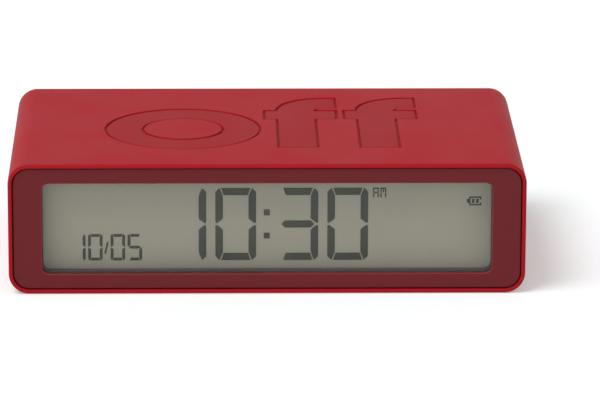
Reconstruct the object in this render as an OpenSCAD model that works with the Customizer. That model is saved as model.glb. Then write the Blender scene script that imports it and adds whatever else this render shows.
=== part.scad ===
// Digital alarm clock in a soft-touch sleeve: the alarm is switched by turning the clock over.
// Millimetres. X runs to the right, Y to the back and Z up, from the middle of the underside.

/* [Case] */
// Width of the clock from side to side
case_w = 105; // [100:1:125]
// Depth of the clock from front to back
case_d = 62; // [58:1:80]
// Height of the clock
case_h = 27.2; // [27:0.2:32]
// Radius of the four long outer corners
corner_r = 4.2; // [3.8:0.1:5]
// Wall of the sleeve
wall = 1.6; // [1.4:0.1:1.7]
// Wall of the thin lips round the front and the back
lip_wall = 0.8; // [0.7:0.05:1.1]
// Rounding of the outer front and back rims
rim_r = 0.55; // [0.2:0.05:0.6]
// How far the bezel and the rear panel sit inside the rims
face_recess = 0.5; // [0.3:0.1:1]
// Gap round the bezel and round the rear panel
seam_gap = 0.2; // [0.05:0.05:0.25]
// Clearance between the sleeve and what slides into it
slide_gap = 0.3; // [0.1:0.05:0.35]

/* [Lettering] */
// Depth of the letters' faces below the top and the underside
letter_depth = 0.1; // [0.05:0.05:0.2]
// Depth of the groove round each letter
groove_depth = 0.5; // [0.3:0.1:0.8]
// Width of the groove round each letter
groove_w = 0.6; // [0.3:0.1:0.8]
// Outer radius of the round letter
ring_outer_r = 16; // [12:0.1:17]
// Inner radius of the round letter
ring_inner_r = 8.3; // [5:0.1:10]
// Width of an upright stroke
stem_w = 8.1; // [5:0.1:9]
// Height of the small letters above their line
x_height = 29.6; // [24:0.1:32]
// Height of a crossbar
bar_h = 7.05; // [4:0.05:8]
// How far a crossbar stands out to the left of its stroke
bar_left = 2.65; // [1:0.05:4]
// How far a crossbar stands out to the right of its stroke
bar_right = 4.4; // [2:0.1:6]
// Inner radius of a hook
hook_inner_r = 2.05; // [1:0.05:4]
// Outer radius of the arch of the letter n
arch_outer_r = 12.6; // [10:0.1:14]
// Space between the round letter and the next stroke
letter_gap = 3.65; // [2:0.05:5]
// Distance from one hooked letter to the next
hook_pitch = 16.75; // [15:0.05:19]
// Distance from the middle of the clock forward to the letters' line
line_forward = 17.5; // [14:0.1:20]
// How far the word on the top sits to the right of the middle
word_shift = -0.7; // [-3:0.1:3]

/* [Bezel and window] */
// Thickness of the bezel
bezel_t = 2; // [1.9:0.1:3]
// Width of the bezel beside the window
border_side = 5.85; // [5.4:0.05:16]
// Width of the bezel above and below the window
border_level = 3.1; // [2.9:0.1:5.5]
// Corner radius of the window
window_r = 1.5; // [0.5:0.1:3]
// Bevel round the front edge of the window
window_bevel = 0.2; // [0.05:0.05:0.4]
// Thickness of the clear window lens
lens_t = 1.5; // [0.8:0.1:1.6]
// How far the lens reaches behind the bezel
lens_border = 1.5; // [0.8:0.1:2]

/* [Display] */
// Thickness of the dark rim in front of the display glass
frame_rim = 1.5; // [0.6:0.1:1.6]
// Side walls of the display frame
frame_side = 2.8; // [2.4:0.1:3]
// Upper and lower walls of the display frame
frame_wall = 0.6; // [0.4:0.1:0.7]
// Clearance of flat pieces in their pockets
fit_gap = 0.1; // [0.05:0.05:0.15]
// Thickness of each sheet of display glass
glass_t = 0.7; // [0.5:0.1:1.1]
// Thickness of the dark display segments
segment_t = 0.05; // [0.03:0.01:0.1]
// Height of the contact ledge along the top of the front glass
ledge_h = 1.3; // [1:0.1:1.5]
// Thickness of the light guide
guide_t = 2; // [1.5:0.1:3]
// Thickness of the white sheet behind the light guide
sheet_t = 0.2; // [0.1:0.05:0.4]
// Room for a lamp at each end of the light guide
lamp_room = 1.8; // [1.4:0.1:2]
// Height of a lamp
lamp_h = 4; // [3:0.1:6]
// How far the display frame's opening stays inside the window
frame_lip = 0.1; // [0.05:0.05:0.3]
// Distance of the display screws from the middle height
frame_screw_z = 6; // [4:0.1:8]
// Radius of a fine screw
frame_screw_r = 0.5; // [0.4:0.05:0.55]
// Radius of a fine screw's head
frame_screw_head_r = 1.1; // [0.8:0.1:1.3]
// Length of a fine screw in its hole
frame_screw_l = 3.6; // [2.5:0.1:4]

/* [Digits] */
// Height of the large digits
digit_h = 15.3; // [10:0.1:16]
// Width of a large digit
digit_w = 8.3; // [6:0.05:8.6]
// Width of a large segment
segment_w = 1.55; // [1:0.05:1.8]
// Distance from one large digit to the next
digit_pitch = 10.15; // [9:0.05:10.6]
// Gap between neighbouring segments of a large digit
segment_gap = 0.14; // [0.05:0.01:0.16]
// How far the middle of the large digits lies below the middle of the window
digit_drop = 0.23; // [0:0.01:0.4]
// Middle of the colon from the middle of the clock
colon_x = -0.05; // [-6:0.05:6]
// Side of a colon dot
colon_dot = 1.25; // [0.8:0.05:1.5]
// Distance from the first colon dot to the second
colon_pitch = 4.9; // [3:0.1:6]
// Space between the colon and the digits beside it
colon_space = 1.55; // [1:0.05:2]
// Height of the date digits
small_h = 5.6; // [4:0.1:6]
// Width of a date digit
small_w = 2.95; // [2:0.05:3.2]
// Width of a date segment
small_segment_w = 0.6; // [0.3:0.05:0.65]
// Gap between neighbouring segments of a date digit
small_gap = 0.06; // [0.03:0.01:0.1]
// Distance from one date digit to the next
small_pitch = 3.46; // [3.3:0.02:4]
// Extra space for the slash in the date
slash_room = 1.12; // [0.8:0.02:1.6]
// Distance from the left edge of the window to the date
date_inset = 5.75; // [2.65:0.05:7.65]
// Height of the half-day sign
sign_h = 2.05; // [1.5:0.05:3]
// Width of a letter of the half-day sign
sign_w = 1.2; // [1:0.05:1.4]
// Stroke of the half-day sign
sign_stroke = 0.28; // [0.2:0.01:0.3]
// Gap between the two halves of an upright in the half-day sign
sign_gap = 0.12; // [0.08:0.01:0.18]
// Distance from one letter of the half-day sign to the next
sign_pitch = 1.5; // [1.5:0.05:2]
// Space between the last digit and the half-day sign
sign_space = 0.95; // [0.5:0.05:1.5]
// Width of the battery gauge
gauge_w = 2.5; // [2.3:0.1:4]
// Height of the battery gauge
gauge_h = 1.9; // [1.6:0.1:3]
// Distance from the right edge of the window to the battery gauge
gauge_inset = 2.05; // [1.65:0.05:9.65]
// Height of the battery gauge above the middle of the large digits
gauge_rise = 4.8; // [2:0.1:7]
// Stroke of the battery gauge
gauge_stroke = 0.32; // [0.2:0.01:0.35]
// Width of a bar in the battery gauge
gauge_bar_w = 0.55; // [0.3:0.05:0.55]
// Distance from the left edge of the battery gauge to its first bar
gauge_bar_left = 0.57; // [0.5:0.01:0.65]
// Length of the button of the battery gauge
gauge_tip = 0.43; // [0.2:0.01:0.6]
// Opening in the right side of the battery gauge
gauge_open = 0.65; // [0.3:0.05:0.9]
// Height of a bar in the battery gauge
gauge_bar_h = 0.9; // [0.5:0.05:0.95]
// Distance from one bar of the battery gauge to the next
gauge_bar_pitch = 0.85; // [0.7:0.05:0.9]
// Thickness of the slash in the date
slash_t = 0.4; // [0.3:0.05:0.5]
// Lean of the slash in the date
slash_lean = 0.55; // [0.2:0.05:0.6]
// Height of the slash in the date
slash_h = 2.48; // [1.5:0.02:3.5]
// Height of the lower end of the slash above the date line
slash_low = 1.42; // [0.8:0.02:2]
// How far the slash starts before its space
slash_left = 0.2; // [0:0.05:0.25]

/* [Battery] */
// Walls of the battery bay above and below the cells
bay_shelf = 1; // [1:0.1:1.5]
// Length of a cell with its button
cell_l = 44.5; // [43:0.1:44.5]
// Radius of the cell's button
cell_button_r = 1.9; // [1.5:0.1:2.2]
// Length of the cell's button
cell_button_l = 1; // [0.8:0.1:1.3]
// Clearance round a cell
cell_gap = 0.2; // [0.1:0.05:0.2]
// Compressed length of a contact spring
spring_l = 3.3; // [2.8:0.1:3.6]
// Thickness of the contact plates
contact_t = 0.4; // [0.2:0.1:0.5]
// End walls of the battery bay
bay_wall = 1.0; // [0.8:0.1:1.2]
// Front wall of the battery bay
bay_front_wall = 1.2; // [1:0.1:1.6]
// Gap round the battery cover
cover_gap = 0.3; // [0.2:0.05:0.4]
// Radius of the cover's pivot stubs
pivot_r = 0.5; // [0.4:0.05:0.55]
// Running clearance of the pivot stubs
pivot_gap = 0.05; // [0.03:0.01:0.08]
// Length of a pivot stub inside the panel
pivot_l = 1; // [0.6:0.1:1.1]
// Side of a contact plate
contact_h = 8; // [6:0.1:9]
// Width of a contact's tail
tail_w = 2; // [1.5:0.1:3]
// Length of a contact's tail outside the bay
tail_l = 3; // [2:0.1:3.5]
// Turns of a contact spring
spring_turns = 3; // [2:1:3]
// Radius of a contact spring at its plate
spring_wide_r = 3.6; // [3:0.1:4]
// Radius of a contact spring at the cell
spring_narrow_r = 1.8; // [1.6:0.1:2.2]
// Radius of the nail scoop beside the battery cover
scoop_r = 2.2; // [1.5:0.1:2.6]

/* [Rear panel and buttons] */
// Thickness of the rear panel
panel_t = 2; // [1.8:0.1:2.4]
// Radius of a button
button_r = 3; // [2.5:0.1:3.2]
// Distance from the battery bay to the first button
button_from_bay = 6.2; // [6.2:0.1:6.6]
// Distance from the last button to the outer panel screws
button_from_side = 6.3; // [5.7:0.1:8.1]
// How far a button stands out of the panel
button_proud = 0.4; // [0.1:0.1:0.4]
// Gap round a button
button_gap = 0.2; // [0.15:0.05:0.3]
// Width of a button's hidden flange
flange_w = 0.8; // [0.6:0.1:1]
// Thickness of a button's hidden flange
flange_t = 1.2; // [0.8:0.1:1.6]
// Travel left between a flange and the panel at rest
flange_gap = 0.3; // [0.15:0.05:0.4]
// Length of a button's post behind its flange
post_l = 1.9; // [1.4:0.1:2.4]
// Side of a push switch
switch_w = 6; // [5:0.1:6.2]
// Height of a push switch
switch_h = 3.5; // [3:0.1:4.3]
// Radius of a switch plunger
plunger_r = 1.6; // [1.2:0.1:1.8]
// Length of a switch plunger outside its switch
plunger_out = 1.4; // [1:0.1:2]
// Radius of a sound hole
sound_r = 0.6; // [0.4:0.05:0.8]
// Distance from one sound hole to the next
sound_pitch = 2.4; // [2:0.1:3]
// Distance of the sound holes below the buttons
sound_drop = 7.8; // [6.5:0.1:8]
// Height of the button board
button_board_h = 12; // [9:0.1:14]
// How far the button board runs past the outer buttons
button_board_end = 4; // [3.2:0.1:4.2]
// Length of a switch plunger inside its switch
plunger_in = 0.4; // [0.2:0.1:0.5]
// Depth of the bore in a push switch
switch_bore_l = 1.2; // [1.1:0.1:2]
// Radius of the posts that carry the button board
board_boss_r = 1.3; // [1.1:0.1:1.5]
// Distance of those posts from the line of the buttons
board_boss_rise = 4.5; // [4:0.1:4.6]
// Distance of the outer panel screws from the middle height
side_screw_z = 7.1; // [5:0.1:7.5]

/* [Inside] */
// Thickness of the circuit boards
board_t = 1.2; // [0.8:0.1:1.6]
// Floor of the chassis tray
tray_t = 1.2; // [0.8:0.1:1.6]
// Height of the posts under the main board
standoff_h = 6; // [4:0.1:7]
// Radius of the posts under the main board
standoff_r = 2.2; // [1.8:0.1:2.6]
// Radius of a small screw
screw_r = 0.7; // [0.5:0.05:0.7]
// Clearance of a small screw in its hole
screw_gap = 0.02; // [0.01:0.01:0.04]
// Radius of a small screw's head
screw_head_r = 1.5; // [1.2:0.1:1.6]
// Thickness of a small screw's head
screw_head_t = 0.8; // [0.5:0.1:0.9]
// Length of a small screw below its head
screw_l = 4.5; // [4:0.1:5]
// Outer radius of the tilt switch
tilt_r = 3; // [2.8:0.1:3.6]
// Height of the tilt switch
tilt_h = 9; // [8:0.1:12]
// Wall of the tilt switch
tilt_wall = 0.6; // [0.4:0.05:0.7]
// Clearance of the ball in the tilt switch
ball_gap = 0.25; // [0.1:0.05:0.35]
// Radius of the buzzer
buzzer_r = 6; // [5:0.1:7]
// Height of the buzzer
buzzer_h = 7; // [5:0.1:9]
// Wall of the buzzer
buzzer_wall = 0.8; // [0.5:0.1:1]
// Thickness of the touch foils
foil_t = 0.1; // [0.05:0.01:0.2]
// Outer radius of the touch springs
touch_spring_r = 2.2; // [1.8:0.1:3]
// Wire radius of the springs
wire_r = 0.3; // [0.2:0.05:0.3]
// Thickness of the flat cables
ribbon_t = 0.3; // [0.2:0.05:0.4]
// Width of the flat cables
ribbon_w = 12; // [8:0.5:14]
// Radius of the battery leads
lead_r = 0.6; // [0.4:0.05:0.7]
// Distance of the leads' ends from the back edge of the main board
lead_inset = 2; // [1.5:0.1:3]
// Straight run of the lower lead from its contact
lead_run = 1.5; // [1:0.1:1.8]
// Height of the lower lead above the main board
lead_rise = 2.5; // [2:0.1:4]
// Length of the posts in front of the battery bay
bay_post_l = 5.5; // [5:0.1:7]
// Width of the posts in front of the battery bay
bay_post_w = 5; // [4:0.1:6]
// Distance of those posts from the ends of the bay
bay_post_inset = 7; // [5:0.1:10]
// Width of the post at the outer panel screws
side_post_w = 3.4; // [3:0.1:3.6]
// Length of the post at the outer panel screws
side_post_l = 8; // [5.5:0.1:9]
// Margin round the main board
board_margin = 4; // [2:0.1:5]
// Distance of the posts under the main board from its edges
standoff_inset = 4; // [3:0.1:6]
// Place of the clock chip from side to side
chip_x = -6; // [-12:0.5:-4]
// Radius of the clock chip
chip_r = 6; // [4:0.1:7]
// Height of the clock chip
chip_h = 2.2; // [1.5:0.1:3]
// Place of the crystal from side to side
crystal_x = 8; // [-6:0.5:10]
// Radius of the crystal
crystal_r = 1; // [0.8:0.1:1.5]
// Length of the crystal
crystal_l = 6; // [5:0.1:8]
// Place of the capacitors from side to side
capacitor_x = -18; // [-20:0.5:-14]
// Distance from one capacitor to the other
capacitor_pitch = 6; // [5:0.1:7]
// Radius of a capacitor
capacitor_r = 2; // [1.5:0.1:2.4]
// Height of a capacitor
capacitor_h = 5; // [4:0.1:8]
// Distance of the front row of pieces from the edge of the main board
front_row_inset = 6; // [5:0.1:8]
// Distance of the tilt switch from the right edge of the main board
tilt_inset = 11; // [10:0.5:14]
// Distance of the buzzer from the right edge of the main board
buzzer_inset = 20; // [18:0.5:24]
// Radius of the sound hole in the buzzer
buzzer_port_r = 1; // [0.6:0.1:1.5]
// Thickness of the buzzer disc
disc_t = 0.3; // [0.2:0.05:0.5]
// Distance of the middle of the touch foils from the left edge of the main board
touch_inset = 18; // [16:0.5:19]
// Width of the touch foils
foil_w = 34; // [26:0.5:34]
// Clearance between the touch foils and the posts under the main board
foil_post_gap = 0.4; // [0.2:0.1:3]
// Turns of the upper touch spring
upper_turns = 8; // [5:1:10]
// Turns of the lower touch spring
lower_turns = 4; // [3:1:5]
// Bend radius of the flat cables
ribbon_bend_r = 1.5; // [1:0.1:2]
// How far the flat cables reach over the main board
ribbon_end = 2; // [1.8:0.1:3]
// Place of the display cable from side to side
display_ribbon_x = 10; // [6:0.5:12]
// Height of the display cable above the middle of the clock
display_ribbon_rise = 2.5; // [0:0.1:4]
// Height of the button cable above the middle of the clock
button_ribbon_rise = 1.5; // [0:0.1:3]

/* [Hidden] */
$fn = 48;
button_names = ["time", "alarm", "plus", "minus"];

// A cut runs this far past the face that it opens
past = 1;
half_d = case_d / 2;
mid_z = case_h / 2;

// What slides into the sleeve
cavity_w = case_w - 2 * wall;
cavity_h = case_h - 2 * wall;
cavity_r = corner_r - wall;
insert_w = cavity_w - 2 * slide_gap;
insert_h = cavity_h - 2 * slide_gap;
insert_r = cavity_r - slide_gap;
plate_inset = lip_wall + seam_gap;
plate_w = case_w - 2 * plate_inset;
plate_h = case_h - 2 * plate_inset;
plate_r = corner_r - plate_inset;
window_w = plate_w - 2 * border_side;
window_h = plate_h - 2 * border_level;
floor_z = wall;
ceiling_z = case_h - wall;

// The word on the top is centred from the round letter's edge to the second hook's end
hook_outer_r = stem_w + hook_inner_r;
hook_end = stem_w + bar_right;
off_w = 2 * ring_outer_r + letter_gap + hook_pitch + hook_end;
on_w = 2 * ring_outer_r + letter_gap + 2 * arch_outer_r;

// Layers of the display from front to back
bezel_front = face_recess - half_d;
bezel_back = bezel_front + bezel_t;
lens_front = bezel_back - lens_t;
glass_front = bezel_back + frame_rim;
segments_front = glass_front + glass_t;
rear_glass_front = segments_front + segment_t;
guide_front = rear_glass_front + glass_t;
sheet_front = guide_front + guide_t;
frame_back = sheet_front + sheet_t;
display_board_back = frame_back + board_t;
pocket_w = insert_w - 2 * frame_side;
pocket_h = insert_h - 2 * frame_wall;
glass_w = pocket_w - 2 * fit_gap;
glass_h = pocket_h - 2 * fit_gap;
glass_bottom = mid_z - glass_h / 2;
rear_glass_h = glass_h - ledge_h;
guide_w = glass_w - 2 * lamp_room;
lamp_w = lamp_room - 2 * fit_gap;
frame_screw_x = insert_w / 2 - frame_side / 2;

// Segments that are dark: top, upper right, lower right, bottom, lower left, upper left, middle
shape_0 = [true, true, true, true, true, true, false];
shape_1 = [false, true, true, false, false, false, false];
shape_3 = [true, true, true, true, false, false, true];
shape_5 = [true, false, true, true, false, true, true];
digit_z = mid_z - digit_drop;
digit_bottom = digit_z - digit_h / 2;
hour_left = colon_x - colon_dot / 2 - colon_space - digit_w - digit_pitch;
minute_left = colon_x + colon_dot / 2 + colon_space;
sign_top = digit_bottom + digit_h;
gauge_z = digit_z + gauge_rise;
gauge_right = window_w / 2 - gauge_inset;
date_left = window_w / 2 - date_inset;

// Rear panel and battery bay
panel_back = half_d - face_recess;
panel_front = panel_back - panel_t;
bay_l = cell_l + spring_l + 2 * contact_t;
bay_h = insert_h - 2 * bay_shelf;
cell_pitch = bay_h / 2;
cell_d = cell_pitch - cell_gap;
bay_left = bay_wall - insert_w / 2;
bay_right = bay_left + bay_l;
bay_outer_right = bay_right + bay_wall;
cell_y = panel_front - cover_gap - cell_d / 2;
bay_inner_front = cell_y - cell_d / 2 - cell_gap;
bay_front = bay_inner_front - bay_front_wall;
upper_z = mid_z + cell_pitch / 2;
lower_z = mid_z - cell_pitch / 2;
hinge_r = panel_t / 2;
hinge_x = bay_left + cover_gap + hinge_r;
hinge_y = panel_front + hinge_r;
cover_h = bay_h - 2 * cover_gap;
cover_right = bay_right - cover_gap;
scoop_depth = panel_t / 2;

// Buttons and their board, between the battery bay and the outer panel screws
tray_w = cavity_w - 2 * cavity_r - 2 * slide_gap;
side_post_x = tray_w / 2 - side_post_w / 2;
button_left = bay_right + button_from_bay;
button_right = side_post_x - button_from_side;
button_pitch = (button_right - button_left) / 3;
button_top = panel_back + button_proud;
flange_back = panel_front - flange_gap;
flange_front = flange_back - flange_t;
post_front = flange_front - post_l;
switch_back = post_front - plunger_out;
button_board_back = switch_back - switch_h;
button_board_front = button_board_back - board_t;
button_board_left = button_left - button_board_end;
button_board_right = button_right + button_board_end;
board_bosses = [
  [button_left + button_pitch / 2, mid_z + board_boss_rise],
  [button_right - button_pitch / 2, mid_z - board_boss_rise]
];

// Chassis tray, main board and what stands on it
tray_top = floor_z + tray_t;
bay_post_x = [bay_left + bay_post_inset, bay_right - bay_post_inset];
main_w = tray_w - 2 * board_margin;
main_front = display_board_back + screw_head_t + ribbon_bend_r;
main_back = bay_front - bay_post_l - slide_gap;
main_mid_y = (main_front + main_back) / 2;
main_bottom = tray_top + standoff_h;
main_top = main_bottom + board_t;
standoff_x = main_w / 2 - standoff_inset;
standoff_y = (main_back - main_front) / 2 - standoff_inset;
front_row_y = main_front + front_row_inset;
touch_x = touch_inset - main_w / 2;
touch_y = main_mid_y;
foil_d = 2 * (standoff_y - standoff_r - foil_post_gap);
tilt_x = main_w / 2 - tilt_inset;
buzzer_x = main_w / 2 - buzzer_inset;
ball_r = tilt_r - tilt_wall - ball_gap;
ball_z = main_top + tilt_wall + ball_r;
display_ribbon_z = mid_z + display_ribbon_rise;
button_ribbon_z = mid_z + button_ribbon_rise;
button_ribbon_x = button_left + 1.5 * button_pitch;
lead_y = main_back - lead_inset;
lead_bend_y = bay_front - tail_l - lead_run;
lead_low_z = main_top + lead_rise;
red = "#a93d42";
dark_red = "#6a292d";
charcoal = "#3c3a3a";
steel = "#b9bcc0";
copper = "#b87333";
board_green = "#2f6b45";

// Rounded rectangle about the origin
module round_rect(w, h, r) {
  square([w - 2 * r, h], center = true);
  square([w, h - 2 * r], center = true);
  for (x = [-1, 1], y = [-1, 1])
    translate([x * (w / 2 - r), y * (h / 2 - r)])
      circle(r);
}

// Upright plate from one depth to another, drawn in X and Z
module plate(front, back) {
  translate([0, back, 0])
    rotate([90, 0, 0])
      linear_extrude(back - front)
        children();
}

// Upright plate with rounded corners about the middle of the clock
module round_plate(front, back, w, h, r) {
  plate(front, back)
    translate([0, mid_z])
      round_rect(w, h, r);
}

// Bar from one side to another, drawn in Y and Z
module bar_along_x(left, right) {
  translate([left, 0, 0])
    rotate([90, 0, 90])
      linear_extrude(right - left)
        children();
}

// Block between two corners
module block(low, high) {
  translate(low)
    cube(high - low);
}

// Round bar along Y
module rod_y(x, z, front, back, r) {
  translate([x, back, z])
    rotate([90, 0, 0])
      cylinder(h = back - front, r = r);
}

// Sweep of a profile round a rounded rectangle in X and Z; the profile's X points outwards, its Y forwards
module swept_round(w, h, r) {
  corners = [[1, 1], [-1, 1], [-1, -1], [1, -1]];
  for (k = [0:3]) {
    run = (k % 2 == 0 ? h : w) - 2 * r;
    translate([corners[k][0] * (w / 2 - r), 0, mid_z + corners[k][1] * (h / 2 - r)])
      rotate([0, -90 * k, 0]) {
        rotate([90, 0, 0])
          rotate_extrude(angle = 90)
            translate([r, 0])
              children();
        translate([0, 0, -run])
          linear_extrude(run)
            mirror([0, 1])
              translate([r, 0])
                children();
      }
  }
}

// Small screw with a cross slot, its head on the plane z = 0 and its shank below
module screw(r, l, head_r, head_t) {
  slot_w = 0.4 * head_r;
  slot_l = 1.3 * head_r;
  difference() {
    union() {
      cylinder(h = head_t, r = head_r);
      translate([0, 0, -l])
        cylinder(h = l, r = r);
    }
    for (turn = [0, 90])
      rotate([0, 0, turn])
        translate([-slot_l / 2, -slot_w / 2, head_t / 2])
          cube([slot_l, slot_w, head_t]);
  }
}

// Points of a coil along Z, on a circle of 6 sides at each of 8 rings to a turn
function coil_points(l, turns, low_r, high_r) =
  let (rings = 8 * turns, room = l - 2 * (wire_r + fit_gap / 2))
  [
    for (i = [0:rings], j = [0:5])
      let (
        a = i * 45,
        b = j * 60,
        r = low_r + (high_r - low_r) * i / rings + wire_r * cos(b),
        z = wire_r + fit_gap / 2 + room * i / rings + wire_r * sin(b)
      )
      [r * cos(a), r * sin(a), z]
  ];

// Coil spring along Z from the plane z = 0 to z = l, one unbroken wire
module coil(l, turns, low_r, high_r) {
  rings = 8 * turns;
  climb = (l - 2 * (wire_r + fit_gap / 2)) / turns;
  widen = (high_r - low_r) / turns;
  echo(coil_least_gap = sqrt(climb * climb + widen * widen) - 2 * wire_r);
  sides = [
    for (i = [0:rings - 1], j = [0:5])
      let (a = 6 * i + j, b = 6 * i + (j + 1) % 6)
      each [[a, b, a + 6], [b, b + 6, a + 6]]
  ];
  ends = [
    for (j = [1:4])
      each [[0, j + 1, j], [6 * rings, 6 * rings + j, 6 * rings + j + 1]]
  ];
  polyhedron(coil_points(l, turns, low_r, high_r), concat(sides, ends));
}

// Flat cable in Y and Z: a level run at a height, a bend and a drop, with the run towards +Y
module bent_strip(run, drop) {
  translate([ribbon_bend_r, drop - ribbon_t])
    square([run - ribbon_bend_r, ribbon_t]);
  square([ribbon_t, drop - ribbon_bend_r]);
  translate([ribbon_bend_r, drop - ribbon_bend_r])
    intersection() {
      difference() {
        circle(ribbon_bend_r);
        circle(ribbon_bend_r - ribbon_t);
      }
      translate([-ribbon_bend_r, 0])
        square(ribbon_bend_r);
    }
}

// Wire through a list of points, with round elbows
module wire(points, r) {
  for (i = [0:len(points) - 2]) {
    step = points[i + 1] - points[i];
    l = norm(step);
    translate(points[i])
      rotate([0, acos(step[2] / l), atan2(step[1], step[0])])
        cylinder(h = l, r = r);
    if (i > 0)
      translate(points[i])
        sphere(r);
  }
}

// Round letter about the middle of its ring
module letter_o() {
  difference() {
    circle(ring_outer_r + $grow, $fn = 96);
    circle(ring_inner_r - $grow, $fn = 96);
  }
}

// Quarter ring from the left of its middle to the top of it
module quarter_ring(outer_r, inner_r) {
  intersection() {
    difference() {
      circle(outer_r, $fn = 96);
      circle(inner_r, $fn = 96);
    }
    translate([-outer_r, 0])
      square(outer_r);
  }
}

// Hooked letter, from the left of its stroke on the letters' line
module letter_f() {
  translate([-$grow, -$grow])
    square([stem_w + 2 * $grow, x_height + $grow]);
  translate([-bar_left - $grow, x_height - bar_h - $grow])
    square([bar_left + hook_end + 2 * $grow, bar_h + 2 * $grow]);
  translate([hook_outer_r, x_height])
    quarter_ring(hook_outer_r + $grow, hook_inner_r - $grow);
  translate([hook_outer_r, x_height + hook_inner_r - $grow])
    square([hook_end - hook_outer_r + $grow, stem_w + 2 * $grow]);
}

// Arched letter, from the left of its stroke on the letters' line
module letter_n() {
  arch_y = x_height - arch_outer_r;
  arch_r = arch_outer_r + $grow;
  translate([-$grow, -$grow])
    square([stem_w + 2 * $grow, x_height + 2 * $grow]);
  translate([2 * arch_outer_r - stem_w - $grow, -$grow])
    square([stem_w + 2 * $grow, arch_y + $grow]);
  translate([arch_outer_r, arch_y])
    intersection() {
      difference() {
        circle(arch_r, $fn = 96);
        circle(arch_outer_r - stem_w - $grow, $fn = 96);
      }
      translate([-arch_r, 0])
        square([2 * arch_r, arch_r]);
    }
}

// Word that starts with the round letter and goes on with the children, centred in its width
module word(w) {
  translate([-w / 2, -line_forward]) {
    translate([ring_outer_r, x_height / 2])
      letter_o();
    translate([2 * ring_outer_r + letter_gap, 0])
      children();
  }
}

// Cutter for a word on the top: its letters' faces and the groove round them
module word_cut() {
  translate([0, 0, case_h - letter_depth])
    linear_extrude(letter_depth + past)
      let($grow = 0)
        children();
  translate([0, 0, case_h - groove_depth])
    linear_extrude(groove_depth + past)
      difference() {
        let($grow = groove_w / 2)
          children();
        let($grow = -groove_w / 2)
          children();
      }
}

// Section of the sleeve's wall, with its rounded rims
module sleeve_section() {
  front_step = half_d - face_recess - bezel_t;
  rear_step = half_d - face_recess - panel_t;
  translate([-wall, -rear_step])
    square([wall, front_step + rear_step]);
  translate([-lip_wall, rim_r - half_d])
    square([lip_wall, case_d - 2 * rim_r]);
  translate([-lip_wall, -half_d])
    square([lip_wall - rim_r, case_d]);
  // Only the outer half of each rim is round
  for (end = [-1, 1])
    translate([-rim_r, end * (half_d - rim_r)])
      intersection() {
        circle(rim_r);
        translate([0, -rim_r])
          square([rim_r, 2 * rim_r]);
      }
}

module outer_sleeve() {
  color(red)
    difference() {
      swept_round(case_w, case_h, corner_r)
        sleeve_section();
      translate([word_shift, 0, 0])
        word_cut()
          word(off_w) {
            letter_f();
            translate([hook_pitch, 0])
              letter_f();
          }
      // The word underneath reads the right way once the clock is rolled over
      translate([0, 0, case_h])
        rotate([0, 180, 0])
          word_cut()
            word(on_w)
              letter_n();
    }
}

module front_bezel() {
  bevel_past = 0.3;
  lens_gap = 2 * (lens_border + fit_gap);
  color(dark_red)
    difference() {
      round_plate(bezel_front, bezel_back, plate_w, plate_h, plate_r);
      round_plate(bezel_front - past, bezel_back + past, window_w, window_h, window_r);
      round_plate(lens_front, bezel_back + past, window_w + lens_gap, window_h + lens_gap, window_r);
      swept_round(window_w, window_h, window_r)
        polygon([
          [-bevel_past, bevel_past - bezel_front],
          [window_bevel + bevel_past, bevel_past - bezel_front],
          [-bevel_past, -bevel_past - window_bevel - bezel_front]
        ]);
    }
}

module display_lens() {
  color("#d8dcdc", 0.3)
    round_plate(lens_front, bezel_back, window_w + 2 * lens_border, window_h + 2 * lens_border, window_r);
}

module frame_screw_holes(front, back, r) {
  for (x = [-1, 1], z = [-1, 1])
    rod_y(x * frame_screw_x, mid_z + z * frame_screw_z, front, back, r);
}

module display_frame() {
  color(charcoal)
    difference() {
      round_plate(bezel_back, frame_back, insert_w, insert_h, insert_r);
      round_plate(
        bezel_back - past, frame_back + past,
        window_w - 2 * frame_lip, window_h - 2 * frame_lip, window_r
      );
      plate(glass_front, frame_back + past)
        translate([0, mid_z])
          square([pocket_w, pocket_h], center = true);
      frame_screw_holes(frame_back - frame_screw_l, frame_back + past, frame_screw_r + screw_gap);
    }
}

module lcd_front_glass() {
  color("#c8cfc8", 0.35)
    plate(glass_front, segments_front)
      translate([-glass_w / 2, glass_bottom])
        square([glass_w, glass_h]);
}

module lcd_rear_glass() {
  color("#8a867a")
    plate(rear_glass_front, guide_front)
      translate([-glass_w / 2, glass_bottom])
        square([glass_w, rear_glass_h]);
}

// Outline of one of the seven segments of a digit
module segment(k, w, h, t, g) {
  middle = h / 2;
  corner = 0.55 * t;
  nip = 0.2 * t;
  slant = 0.66 * t;
  level = [[corner + 2 * g, h], [w - corner - 2 * g, h], [w - t - g, h - t], [t + g, h - t]];
  upright = [
    [w - corner, h], [w, h - corner], [w, middle + nip + g], [w - nip, middle + g],
    [w - t, middle + slant + g], [w - t, h - t - g]
  ];
  centre = [
    [t / 2, middle], [t, middle + t / 2], [w - t, middle + t / 2],
    [w - t / 2, middle], [w - t, middle - t / 2], [t, middle - t / 2]
  ];
  points = k == 0 || k == 3 ? level : (k == 6 ? centre : upright);
  left = k == 4 || k == 5;
  low = k == 2 || k == 3 || k == 4;
  polygon([for (p = points) [left ? w - p[0] : p[0], low ? h - p[1] : p[1]]]);
}

// Digit from its lower left corner
module digit(shape, w, h, t, g) {
  for (k = [0:6])
    if (shape[k])
      segment(k, w, h, t, g);
}

// Uprights and top bar that both letters of the half-day sign have
module sign_arch() {
  half = (sign_h - sign_gap) / 2;
  for (x = [0, sign_w - sign_stroke], z = [0, half + sign_gap])
    translate([x, z])
      square([sign_stroke, half]);
  translate([0, sign_h - sign_stroke])
    square([sign_w, sign_stroke]);
}

// Letter A of the half-day sign
module sign_a() {
  sign_arch();
  translate([sign_stroke, (sign_h - sign_stroke) / 2])
    square([sign_w - 2 * sign_stroke, sign_stroke]);
}

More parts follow.
